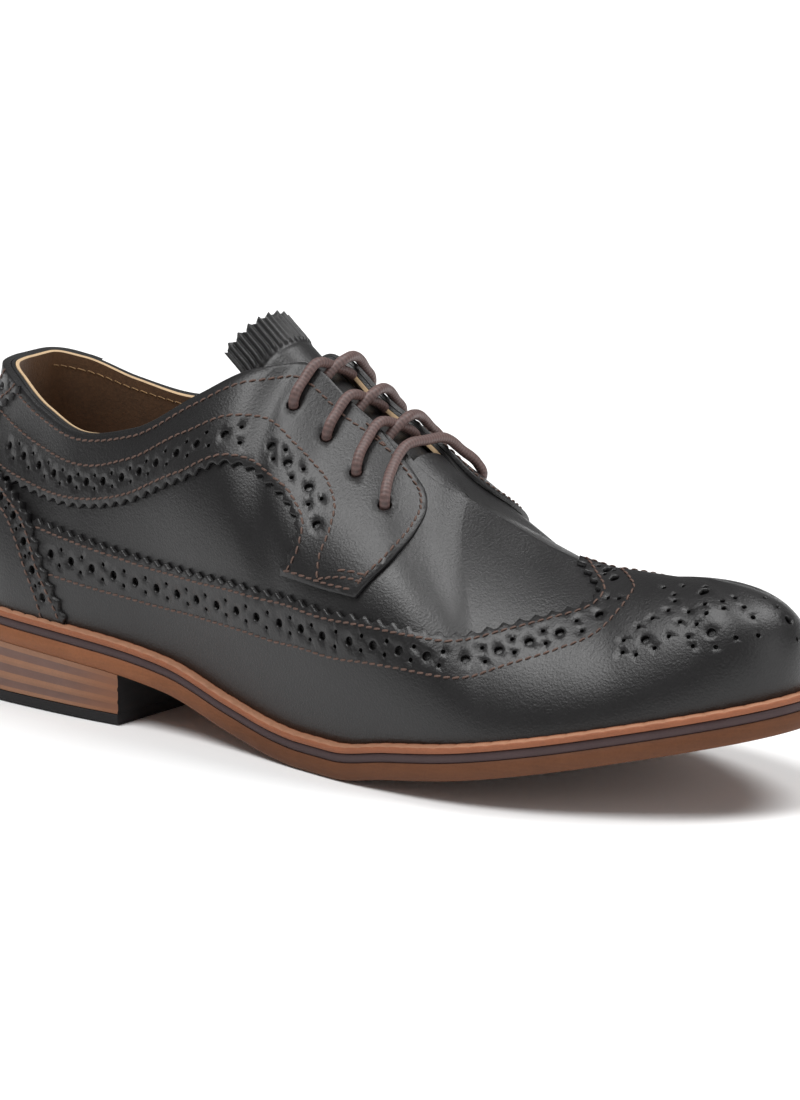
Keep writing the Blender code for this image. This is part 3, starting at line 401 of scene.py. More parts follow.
    def normal(self, s, t):
        """Outward direction, shared by both sides where they meet on the ridge."""
        s, t = np.broadcast_arrays(np.asarray(s, float), np.asarray(t, float))
        station, near = self.station(s)
        mirror = np.where(near, self.along(station, MEDIAL), self.along(station, LATERAL))
        n = self.raw_normal(s, np.minimum(t, 0.985))
        other = self.raw_normal(mirror, np.minimum(t, 0.985))
        both = n + other
        both[..., 1] = 0.0
        ridge = (ease((station - THROAT_END + 0.001) / 0.002) * ease((t - 0.90) / 0.0999))[..., None]
        return unit(n * (1 - ridge) + unit(both) * ridge)

    def relief(self, s, t):
        """Soft dents and folds in the leather, in metres along the normal."""
        total = np.zeros(np.broadcast(s, t).shape)
        wrap = np.mod(s, self.round)
        for centre, (_, share, _, half, tall, turn, depth) in self.folds:
            x = (wrap - centre) / self.length
            y = (t - share) * 0.3
            u = (x * math.cos(turn) + y * math.sin(turn)) / half
            v = (y * math.cos(turn) - x * math.sin(turn)) / (tall * 0.3)
            total += depth * 0.001 * np.exp(-u * u - v * v)
        return total * ease((1.0 - t) / 0.15)

    def off(self, s, t, out):
        """Place at a distance out from the wall and its folds."""
        s, t = np.broadcast_arrays(np.asarray(s, float), np.asarray(t, float))
        lift = np.asarray(out) + self.relief(s, t)
        return self.point(s, t) + self.normal(s, t) * lift[..., None]

    def frame(self, s, t):
        """Chart directions and the normal at places, for steps measured in metres."""
        s = np.asarray(s, float)
        t = np.minimum(np.asarray(t, float), 0.997)
        a = (self.point(s + 1e-4, t) - self.point(s - 1e-4, t)) / 2e-4
        high = t + 2e-3
        low = np.maximum(t - 2e-3, 0)
        b = (self.point(s, high) - self.point(s, low)) / (high - low)[..., None]
        back = np.linalg.pinv(np.stack([a, b], -1))
        return back, unit(np.cross(a, b))


class Shoe:
    """The sizes, colours and last that the operators share."""

    def __init__(self, context):
        self.sizes = context.scene.shoe_sizes
        self.colours = context.scene.shoe_colours
        self.last = Last(self.sizes)
        self.lines = {}

    def line(self, table, side):
        key = (id(table), side)
        if key not in self.lines:
            self.lines[key] = Line(self.last, table, side)
        return self.lines[key]


class Line:
    """A line drawn on the last, measured along its true length."""

    def __init__(self, last, table, side):
        self.last = last
        table = np.array(table, float)
        places = np.stack([last.along(table[:, 0], side), table[:, 1]], 1)
        if side == MEDIAL:
            turn = np.mod(places[:, 0], last.round)
            places[:, 0] = np.where(turn < last.toe - 1e-9, turn + last.round, turn)
        knots = travelled(places * np.array([1.0, CHART_TALL]))
        u = np.linspace(0, knots[-1], max(60, int(knots[-1] / 0.0006)))
        self.chart = np.stack([self.curve(u, knots, places[:, k]) for k in (0, 1)], 1)
        self.chart[:, 1] = np.clip(self.chart[:, 1], 0, 1)
        self.solid = last.point(self.chart[:, 0], self.chart[:, 1])
        self.run = travelled(self.solid)
        self.length = self.run[-1]

    @staticmethod
    def curve(u, knots, values):
        """A natural rounded line through the values."""
        slope = np.gradient(values, knots)
        i = np.clip(np.searchsorted(knots, u, side="right") - 1, 0, len(knots) - 2)
        h = knots[i + 1] - knots[i]
        t = (u - knots[i]) / h
        rise = values[i] * (2 * t**3 - 3 * t**2 + 1) + values[i + 1] * (3 * t**2 - 2 * t**3)
        return rise + h * (slope[i] * (t**3 - 2 * t**2 + t) + slope[i + 1] * (t**3 - t**2))

    def at(self, d):
        return np.stack([np.interp(d, self.run, self.chart[:, k]) for k in (0, 1)], -1)

    def way(self, d):
        """Direction along the line and the way across it to its left, both in the surface."""
        d = np.asarray(d, float)
        a, b = (np.stack([np.interp(np.clip(d + step, 0, self.length), self.run, self.solid[:, k])
                          for k in range(3)], -1) for step in (-0.0008, 0.0008))
        along = unit(b - a)
        q = self.at(d)
        back, n = self.last.frame(q[..., 0], q[..., 1])
        return along, np.cross(n, along), back

    def beside(self, d, away):
        """Places a true distance to the left of the line."""
        d = np.asarray(d, float)
        _, across, back = self.way(d)
        step = np.einsum("...ij,...j->...i", back, across * np.asarray(away)[..., None])
        place = self.at(d) + step
        place[..., 1] = np.clip(place[..., 1], 0.0, 1.0)
        return place


def mesh_piece(name, verts, faces, finish, sharp=42.0, weld=0.0, marks=None):
    """A shown piece from points and faces, smooth but for its sharp edges."""
    mesh = bpy.data.meshes.new(name)
    mesh.from_pydata([tuple(float(c) for c in v) for v in verts], [],
                     [tuple(int(i) for i in f) for f in faces])
    finishes = finish if isinstance(finish, (list, tuple)) else [finish]
    for made in finishes:
        mesh.materials.append(made)
    if marks is not None:
        mesh.polygons.foreach_set("material_index", np.array(marks, np.int32))
    body = bmesh.new()
    body.from_mesh(mesh)
    if weld:
        bmesh.ops.remove_doubles(body, verts=body.verts, dist=weld)
    body.normal_update()
    limit = math.radians(sharp)
    for edge in body.edges:
        edge.smooth = len(edge.link_faces) != 2 or edge.calc_face_angle(0.0) < limit
    for face in body.faces:
        face.smooth = True
    body.to_mesh(mesh)
    body.free()
    thing = bpy.data.objects.new(name, mesh)
    bpy.context.scene.collection.objects.link(thing)
    return thing


def seat(thing, slot, *nodes):
    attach(thing, "root")
    if nodes:
        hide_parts(*nodes)
    return thing


def inside(points, ring):
    """Which points lie inside a closed ring."""
    a = ring
    b = np.roll(ring, -1, axis=0)
    result = np.zeros(len(points), bool)
    for start in range(0, len(points), 2000):
        p = points[start:start + 2000]
        cross = (a[None, :, 1] > p[:, None, 1]) != (b[None, :, 1] > p[:, None, 1])
        rise = np.where(np.abs(b[:, 1] - a[:, 1]) < 1e-12, 1e-12, b[:, 1] - a[:, 1])
        at = a[None, :, 0] + (p[:, None, 1] - a[None, :, 1]) / rise[None] * (b[:, 0] - a[:, 0])[None]
        result[start:start + 2000] = np.count_nonzero(cross & (at > p[:, None, 0]), axis=1) % 2 == 1
    return result


def ring_of(shoe, centre, radius, count):
    """A true circle on the last, as chart places."""
    last = shoe.last
    back, n = last.frame(centre[0], centre[1])
    a = unit(np.cross(n, np.array([0.3, 0.2, 0.93])))
    b = np.cross(n, a)
    turn = np.linspace(0, 2 * math.pi, count, endpoint=False)
    steps = (np.cos(turn)[:, None] * a + np.sin(turn)[:, None] * b) * radius
    ring = np.asarray(centre) + steps @ back.T
    area = np.sum(ring[:, 0] * np.roll(ring[:, 1], -1) - np.roll(ring[:, 0], -1) * ring[:, 1])
    return ring if area > 0 else ring[::-1]


def panel(shoe, name, ring, welded, punches, low, thick, finish, hole_depth=None):
    """A laid-on leather panel with rounded rims and punched holes, from its ring of chart places."""
    last = shoe.last
    rim = 0.00028
    spacing = 0.0021
    ring = np.asarray(ring, float)
    welded = np.asarray(welded, bool)
    count = len(ring)
    solid = last.point(ring[:, 0], ring[:, 1])
    back, n = last.frame(ring[:, 0], ring[:, 1])
    along = unit(np.roll(solid, -1, axis=0) - np.roll(solid, 1, axis=0))
    inward = np.cross(n, along)
    step = np.einsum("nij,nj->ni", back, inward * rim)
    inner = ring + np.where(welded[:, None], 0.0, step)
    inner[:, 1] = np.clip(inner[:, 1], 0.0, 1.0)
    chart = np.array([1.0, CHART_TALL])
    flat = [inner * chart]
    loops = [np.arange(count)]
    owner = [np.full(count, -1)]
    total = count
    hole_rings = []
    for number, (centre, radius) in enumerate(punches):
        sides = 14 if radius > 0.001 else 10
        hole = ring_of(shoe, centre, radius, sides)
        lip = ring_of(shoe, centre, radius + 0.00012 + radius * 0.08, sides)
        hole_rings.append(hole)
        flat.append(lip * chart)
        loops.append(np.arange(total, total + sides))
        owner.append(np.full(sides, number))
        total += sides
    fixed = np.vstack(flat)
    owner = np.concatenate(owner)
    fixed_solid = last.point(fixed[:, 0], fixed[:, 1] / CHART_TALL)
    tree = KDTree(len(fixed_solid))
    for i, p in enumerate(fixed_solid):
        tree.insert(Vector(p), i)
    tree.balance()
    low_s, high_s = ring[:, 0].min(), ring[:, 0].max()
    low_t, high_t = ring[:, 1].min(), ring[:, 1].max()
    us = np.arange(low_s, high_s, spacing)
    vs = np.arange(low_t, high_t, spacing / CHART_TALL)
    grid_u, grid_v = np.meshgrid(us, vs, indexing="ij")
    grid_u = grid_u + (np.arange(len(vs)) % 2)[None, :] * spacing * 0.5
    spots = np.stack([grid_u.ravel(), grid_v.ravel()], 1)
    spots = spots[inside(spots * chart, fixed[:count])]
    spot_solid = last.point(spots[:, 0], spots[:, 1])
    keep = np.array([tree.find(Vector(p))[2] > spacing * 0.42 for p in spot_solid], bool)
    for centre, radius in punches:
        middle = last.point(centre[0], centre[1])
        keep &= np.linalg.norm(spot_solid - middle, axis=1) > radius + 0.0005
    spots = spots[keep]
    everything = np.vstack([fixed, spots * chart])
    owner = np.concatenate([owner, np.full(len(spots), -1)])
    edges = [(int(loop[i]), int(loop[(i + 1) % len(loop)])) for loop in loops for i in range(len(loop))]
    found, _, tris, origin, *_ = delaunay_2d_cdt([Vector(p) for p in everything], edges, [], 0, 1e-9)
    found = np.array([tuple(p) for p in found])
    source = np.array([o[0] if o else -1 for o in origin])
    held = np.where(source >= 0, owner[source], -1)
    tris = np.array([t for t in tris if len(t) == 3])
    middle = found[tris].mean(axis=1)
    good = inside(middle, fixed[:count])
    owned = held[tris]
    same = (owned[:, 0] >= 0) & (owned == owned[:, :1]).all(axis=1)
    tris = tris[good & ~same]
    s = found[:, 0]
    t = np.clip(found[:, 1] / CHART_TALL, 0, 1)
    top = last.off(s, t, low + thick)
    verts = [top]
    faces = [tuple(f) for f in tris]
    place_of = {int(o): i for i, o in enumerate(source) if o >= 0}
    base = len(top)
    mid = last.off(ring[:, 0], ring[:, 1], low + thick - rim * 0.9)
    foot = last.off(ring[:, 0], ring[:, 1], low)
    verts += [mid, foot]
    for i in range(count):
        k = (i + 1) % count
        if welded[i] and welded[k]:
            continue
        a, b = place_of[i], place_of[k]
        faces.append((b, a, base + i, base + k))
        faces.append((base + k, base + i, base + count + i, base + count + k))
    base += 2 * count
    for loop, hole in zip(loops[1:], hole_rings):
        size = len(hole)
        t_hole = np.clip(hole[:, 1], 0, 1)
        verts.append(last.off(hole[:, 0], t_hole, low + thick - rim * 0.8))
        verts.append(last.off(hole[:, 0], t_hole, low if hole_depth is None else hole_depth))
        for i in range(size):
            k = (i + 1) % size
            a, b = place_of[int(loop[i])], place_of[int(loop[k])]
            faces.append((a, b, base + k, base + i))
            faces.append((base + i, base + k, base + size + k, base + size + i))
        base += 2 * size
    return mesh_piece(name, np.vstack(verts), faces, finish, sharp=55.0, weld=4e-6)


def gimped(line, depth, pitch):
    """A toothed edge beside a line: chart places with a point and two hollow sides to each tooth."""
    count = max(2, int(round(line.length / pitch)))
    pitch = line.length / count
    shape = ((0.0, 0.0), (0.16, 0.12), (0.34, 0.62), (0.5, 1.0), (0.66, 0.62), (0.84, 0.12))
    d = np.array([(i + u) * pitch for i in range(count) for u, _ in shape] + [line.length])
    h = np.array([v for _ in range(count) for _, v in shape] + [0.0])
    return line.beside(d, h * depth)


def plain(line, step):
    """Chart places along a line at even steps."""
    d = np.linspace(0.0, line.length, max(3, int(round(line.length / step)) + 1))
    return line.beside(d, np.zeros(len(d)))


def stitches(shoe, rows, name, finish, slot, out, pitch=None, radius=None):
    """Rows of thread, each stitch a short arc that dives into the leather at both ends."""
    sizes = shoe.sizes
    pitch = pitch or sizes.stitch_pitch
    radius = radius or sizes.thread_radius
    verts = []
    faces = []
    shares = np.array([-0.5, -0.40, -0.2, 0.0, 0.2, 0.40, 0.5])
    lift = np.array([-0.9, 0.15, 0.62, 0.75, 0.62, 0.15, -0.9])
    fat = np.array([0.55, 0.9, 1.0, 1.05, 1.0, 0.9, 0.55])
    sides = 6
    fill = 0.80
    turn = np.linspace(0, 2 * math.pi, sides, endpoint=False)
    for line, away, start, stop in rows:
        stop = line.length if stop is None else stop
        number = max(1, int(round((stop - start) / pitch)))
        length = (stop - start) / number
        centres = start + (np.arange(number) + 0.5) * length
        d = centres[:, None] + shares[None, :] * length * fill
        place = line.beside(d.ravel(), np.full(d.size, away))
        along, across, _ = line.way(d.ravel())
        normal = np.cross(along, across)
        level = shoe.last.off(place[:, 0], place[:, 1], out)
        level = level + normal * (np.tile(lift, number) * radius)[:, None]
        slant = np.tile(shares, number)[:, None] * across * radius * 1.1
        level = level + slant
        size = (np.tile(fat, number) * radius)[:, None, None]
        rings = level[:, None, :] + size * (np.cos(turn)[None, :, None] * across[:, None, :] * 1.05
                                            + np.sin(turn)[None, :, None] * normal[:, None, :] * 0.8)
        rings = rings.reshape(number, len(shares), sides, 3)
        for stitch in rings:
            base = len(verts)
            verts.extend(stitch.reshape(-1, 3))
            faces += [tuple(base + v for v in quad) for i in range(len(shares) - 1)
                      for quad in quads(i, sides)]
    return seat(mesh_piece(name, verts, faces, finish, sharp=80.0), slot)


class Term:
    """A shader value that takes part in sums, as math nodes."""

    def __init__(self, finish, socket):
        self.finish = finish
        self.socket = socket

    def sum(self, operation, first, second):
        return self.finish.add("ShaderNodeMath", {"operation": operation}, {0: first, 1: second})

    def __add__(self, other):
        return self.sum("ADD", self, other)

    def __radd__(self, other):
        return self.sum("ADD", other, self)

    def __sub__(self, other):
        return self.sum("SUBTRACT", self, other)

    def __rsub__(self, other):
        return self.sum("SUBTRACT", other, self)

    def __mul__(self, other):
        return self.sum("MULTIPLY", self, other)

    def __truediv__(self, other):
        return self.sum("DIVIDE", self, other)

    def clamp(self, low=0.0, high=1.0):
        return self.finish.add("ShaderNodeClamp", {}, {"Value": self, "Min": low, "Max": high})


class Finish:
    """One material's nodes round its Principled shader."""

    def __init__(self, name):
        self.material = bpy.data.materials.new(name)
        self.material.use_nodes = True
        self.tree = self.material.node_tree
        self.shader = self.tree.nodes["Principled BSDF"]
        self.where = self.add("ShaderNodeTexCoord", {}, {}, "Object")

    def add(self, kind, settings, inputs, output=0):
        node = self.tree.nodes.new(kind)
        for key, value in settings.items():
            if key == "stops":
                ramp = node.color_ramp
                while len(ramp.elements) > len(value):
                    ramp.elements.remove(ramp.elements[-1])
                while len(ramp.elements) < len(value):
                    ramp.elements.new(1.0)
                for stop, (at, colour) in zip(ramp.elements, value):
                    stop.position = at
                    stop.color = (*colour, 1.0)
            else:
                setattr(node, key, value)
        for key, value in inputs.items():
            self.join(node.inputs[key], value)
        return Term(self, node.outputs[output])

    def join(self, socket, value):
        if isinstance(value, Term):
            self.tree.links.new(value.socket, socket)
        elif hasattr(value, "__len__") and socket.type == "RGBA" and len(value) == 3:
            socket.default_value = (*value, 1.0)
        else:
            socket.default_value = value

    def set(self, **inputs):
        for key, value in inputs.items():
            self.join(self.shader.inputs[key.replace("_", " ")], value)

    def noise(self, scale, detail=2.0, rough=0.5, stretch=None):
        place = self.where
        if stretch:
            place = self.add("ShaderNodeVectorMath", {"operation": "MULTIPLY"}, {0: self.where, 1: stretch})
        return self.add("ShaderNodeTexNoise", {}, {"Vector": place, "Scale": scale, "Detail": detail,
                                                   "Roughness": rough})

    def cells(self, scale, feature="F1", random=1.0):
        return self.add("ShaderNodeTexVoronoi", {"feature": feature},
                        {"Vector": self.where, "Scale": scale, "Randomness": random}, "Distance")

    def axis(self, number):
        """One coordinate of the place on the shoe, in metres."""
        return self.add("ShaderNodeSeparateXYZ", {}, {0: self.where}, number)

    def mix(self, share, first, second):
        """A colour between two others."""
        return self.add("ShaderNodeMix", {"data_type": "RGBA"}, {0: share, 6: first, 7: second}, 2)

    def bump(self, height, distance, strength):
        inputs = {"Height": height, "Distance": distance, "Strength": strength}
        return self.add("ShaderNodeBump", {}, inputs, "Normal")


def shade(colour, factor):
    return tuple(min(1.0, c * factor) for c in colour)


def leather_finish(name, colour):
    """Smooth calf leather: fine pebble grain, faint pores, slow changes of gloss and a worn sheen."""
    f = Finish(name)
    slow = f.noise(38.0, 3.0, 0.55)
    patch = f.noise(160.0, 3.0, 0.6)
    pebble = f.cells(1500.0, "SMOOTH_F1")
    pores = f.noise(3200.0, 3.0, 0.65)
    f.set(Base_Color=f.mix((slow * 0.7 + patch * 0.5 - 0.25).clamp(), colour, shade(colour, 1.7)))
    uneven = (slow - 0.5) * 0.16
    f.set(Roughness=(0.36 + uneven + (pores - 0.5) * 0.14 + (patch - 0.5) * 0.08).clamp(0.2, 0.8))
    height = pebble * 0.55 + pores * 0.5 + patch * 0.35
    f.set(Normal=f.bump(height, 0.00016, 0.9))
    f.set(Coat_Weight=0.12, Coat_Roughness=0.30, Specular_IOR_Level=0.42)
    return f.material


def suede_finish(name, colour, fleck=1.6, bump=0.00025):
    """Napped or raw leather with soft fibres and flecks."""
    f = Finish(name)
    nap = f.noise(900.0, 5.0, 0.7)
    patch = f.noise(90.0, 3.0, 0.6)
    share = (nap * 0.9 + patch * 0.7 - 0.35).clamp()
    f.set(Base_Color=f.mix(share, shade(colour, 0.72), shade(colour, fleck)))
    f.set(Roughness=0.86 + (nap - 0.5) * 0.15)
    f.set(Normal=f.bump(nap, bump, 0.6))
    f.set(Sheen_Weight=0.25)
    return f.material


def edge_finish(name, colour, rough=0.55, fleck=1.35, heel=1.0):
    """Stained and trimmed sole edge: fine fibres, speckle and faint trimming lines."""
    f = Finish(name)
    speck = f.noise(1400.0, 4.0, 0.7)
    cloud = f.noise(120.0, 4.0, 0.6)
    streak = f.noise(300.0, 2.0, 0.5, (0.25, 0.25, 6.0))
    share = (speck * 0.75 + cloud * 0.55 + streak * 0.35 - 0.45).clamp()
    tone = f.mix(share, shade(colour, 0.74), shade(colour, fleck))
    if heel != 1.0:
        back = (1.0 - (f.axis(0) - 0.045) / 0.045).clamp()
        tone = f.mix(back, tone, f.mix(share, shade(colour, 0.74 * heel), shade(colour, fleck * heel)))
    f.set(Base_Color=tone)
    f.set(Roughness=(rough + (speck - 0.5) * 0.25).clamp(0.2, 0.95))
    f.set(Normal=f.bump(speck * 0.6 + streak * 0.6, 0.00012, 0.6))
    f.set(Specular_IOR_Level=0.25)
    return f.material


def thread_finish(name, colour):
    """Spun thread with a fine twist."""
    f = Finish(name)
    ply = f.noise(2600.0, 2.0, 0.6)
    soil = f.noise(240.0, 3.0, 0.6)
    f.set(Base_Color=f.mix((ply * 0.8 + soil * 0.6 - 0.25).clamp(), shade(colour, 0.5), shade(colour, 1.9)))
    f.set(Roughness=0.62 + (ply - 0.5) * 0.2)
    f.set(Normal=f.bump(ply, 0.00008, 0.8))
    return f.material


def cord_finish(name, colour):
    """Waxed braided cord: two crossing strands worked from its length and turn, with painted shade in the
    hollows between the strands.
    """
    f = Finish(name)
    weave = f.add("ShaderNodeAttribute", {"attribute_name": "braid"}, {}, "Vector")
    run, cosine, sine = (f.add("ShaderNodeSeparateXYZ", {}, {0: weave}, k) for k in range(3))
    beat = run * 2600.0

    def wave(way):
        """The height of one of the two crossing strands."""
        angle_sine = f.add("ShaderNodeMath", {"operation": "SINE"}, {0: beat})
        angle_cosine = f.add("ShaderNodeMath", {"operation": "COSINE"}, {0: beat})
        return angle_sine * cosine + angle_cosine * sine * way

    braid = wave(1.0) * wave(-1.0)
    fuzz = f.noise(2400.0, 3.0, 0.7)
    # The braid's height also sets the colour: the hollows between the strands are painted darker, which is
    # painted shade; the fuzz is random tone.
    share = (braid * 0.35 + fuzz * 0.9 - 0.1).clamp()
    f.set(Base_Color=f.mix(share, shade(colour, 0.6), shade(colour, 1.75)))
    f.set(Roughness=(0.50 + (fuzz - 0.5) * 0.3).clamp(0.25, 0.9))
    f.set(Normal=f.bump(braid * 0.5 + fuzz * 0.5, 0.00016, 0.8))
    f.set(Coat_Weight=0.08, Coat_Roughness=0.4)
    return f.material


def shared_finish(name, maker, *args, **keywords):
    """The finish of that name, made once."""
    return bpy.data.materials.get(name) or maker(name, *args, **keywords)


def black(shoe):
    return shared_finish("black_leather", leather_finish, tuple(shoe.colours.leather))


def brown_thread(shoe):
    return shared_finish("brown_thread", thread_finish, tuple(shoe.colours.thread))


PANEL_LOW = 0.0002
PANEL_FOOT = 0.004
PUNCH_PITCH = 0.0084
STRIP_LAYERS = 1.9


def skin_columns(shoe, step=0.0019):
    """Places round the foot line, paired by station on the two sides."""
    last = shoe.last
    near = np.linspace(0.0, last.toe, int(last.toe / step))
    stations, _ = last.station(near)
    stations = np.unique(np.concatenate([stations, [THROAT_END, 0.722]]))
    stations[0], stations[-1] = 0.0, 1.0
    near_s = last.along(stations, LATERAL)
    far_s = last.along(stations, MEDIAL)[::-1][1:-1]
    return np.concatenate([near_s, far_s])


class SHOE_OT_upper(bpy.types.Operator):
    """Build the vamp and quarters with the lining inside them."""
    bl_idname = "shoe.upper"
    bl_label = "Upper and lining"

    def execute(self, context):
        shoe = Shoe(context)
        last = shoe.last
        sizes = shoe.sizes
        s = skin_columns(shoe)
        t = np.concatenate([np.linspace(0, 0.9, 30), np.linspace(0.9, 1.0, 8)[1:]])
        leather = sizes.wall * 0.5
        at, _ = last.station(s)
        count = len(s)
        grid_s, grid_t = np.meshgrid(s, t, indexing="ij")
        outer = last.off(grid_s, grid_t, 0.0)
        rim_a = last.off(s, np.full(count, 1.0), -0.00015)
        rim_a[:, 2] += 0.00018
        rim_b = last.off(s, np.full(count, 1.0), -leather + 0.0001)
        rim_b[:, 2] += 0.00018
        inner = last.off(s, np.full(count, 0.94), -leather)
        rows = len(t)
        verts = [outer.reshape(-1, 3), rim_a, rim_b, inner]
        faces = []
        base = count * rows
        for i in range(count):
            k = (i + 1) % count
            for j in range(rows - 1):
                faces.append((i * rows + j, k * rows + j, k * rows + j + 1, i * rows + j + 1))
            if min(at[i], at[k]) < THROAT_END - 1e-4:
                faces.append((i * rows + rows - 1, k * rows + rows - 1, base + k, base + i))
                faces.append((base + i, base + k, base + count + k, base + count + i))
                faces.append((base + count + i, base + count + k, base + 2 * count + k, base + 2 * count + i))
        skin = mesh_piece("vamp_and_quarters", np.vstack(verts), faces, black(shoe), sharp=60.0, weld=4e-6)
        seat(skin, "upper", "upper")
        self.lining(shoe, s, at, leather)
        self.bridge(shoe)
        return {"FINISHED"}

    def lining(self, shoe, s, at, leather):
        """The tan lining with its pale edge, its suede heel and its seams."""
        last = shoe.last
        sizes = shoe.sizes
        count = len(s)
        outs = ((1.0, -leather - 0.00005, -0.0002), (1.0, -leather - 0.00015, 0.0003),
                (1.0, -sizes.wall * 0.78, 0.0004), (1.0, -sizes.wall, 0.0001))
        rings = []
        for t, out, up in outs:
            ring = last.off(s, np.full(count, t), out)
            ring[:, 2] += up
            rings.append(ring)
        for t in np.linspace(0.97, 0.0, 26):
            rings.append(last.off(s, np.full(count, t), -sizes.wall))
        verts = np.vstack(rings)
        faces = []
        marks = []
        for r in range(len(rings) - 1):
            for i in range(count):
                k = (i + 1) % count
                if r < 4 and min(at[i], at[k]) >= THROAT_END - 1e-4:
                    continue
                faces.append((r * count + i, r * count + k, (r + 1) * count + k, (r + 1) * count + i))
                mark = 0 if r < 3 else (2 if 0.5 * (at[i] + at[k]) < 0.295 else 1)
                marks.append(mark)
        colours = shoe.colours
        finishes = [shared_finish("lining_edge", edge_finish, tuple(colours.cut_edge), 0.7),
                    shared_finish("tan_lining", suede_finish, tuple(colours.lining), 1.3, 0.00012),
                    shared_finish("heel_suede", suede_finish, tuple(colours.heel_lining), 1.9, 0.0003)]
        seat(mesh_piece("lining", verts, faces, finishes, sharp=50.0, marks=marks), "insole")
        rows = []
        seam = ((0.291, 0.97), (0.294, 0.70), (0.296, 0.45), (0.296, 0.20))
        for side in (LATERAL, MEDIAL):
            line = Line(last, seam, side)
            for away in (-0.0010, 0.0010):
                rows.append((line, away, 0.0, None))
        top = ((0.02, 0.955), (0.2, 0.955), (0.4, 0.955), (0.54, 0.955))
        for side in (LATERAL, MEDIAL):
            rows.append((Line(last, top, side), 0.0, 0.0, None))
        finish = shared_finish("lining_thread", thread_finish, (0.34, 0.20, 0.09))
        stitches(shoe, rows, "lining_stitching", finish, "insole", -sizes.wall - 0.0001, 0.0030, 0.00022)

    def bridge(self, shoe):
        """The vamp's leather running on across the foot of the throat under the lowest lace."""
        last = shoe.last
        stations = np.concatenate([np.linspace(0.7629, 0.745, 8), np.linspace(0.742, 0.712, 12)])
        across = np.linspace(0, 1, 25)
        rows = []
        for v in stations:
            near = float(last.along(v, LATERAL))
            far = float(last.along(v, MEDIAL))
            sink = -0.00003 - 0.0008 * ease((0.740 - v) / 0.028)
            a = last.off(near, 1.0, sink)
            b = last.off(far, 1.0, sink)
            a0 = last.off(near, 0.97, sink)
            b0 = last.off(far, 0.97, sink)
            width = np.linalg.norm(b - a)
            c1 = a + unit(a - a0) * width * 0.30
            c2 = b + unit(b - b0) * width * 0.30
            rows.append(arched(a, c1, c2, b, across[:, None]))
        verts = np.array(rows).reshape(-1, 3)
        wide = len(across)
        faces = [(i * wide + j, i * wide + j + 1, (i + 1) * wide + j + 1, (i + 1) * wide + j)
                 for i in range(len(rows) - 1) for j in range(wide - 1)]
        seat(mesh_piece("vamp_throat", verts, faces, black(shoe), sharp=80.0, weld=2e-6), "upper")


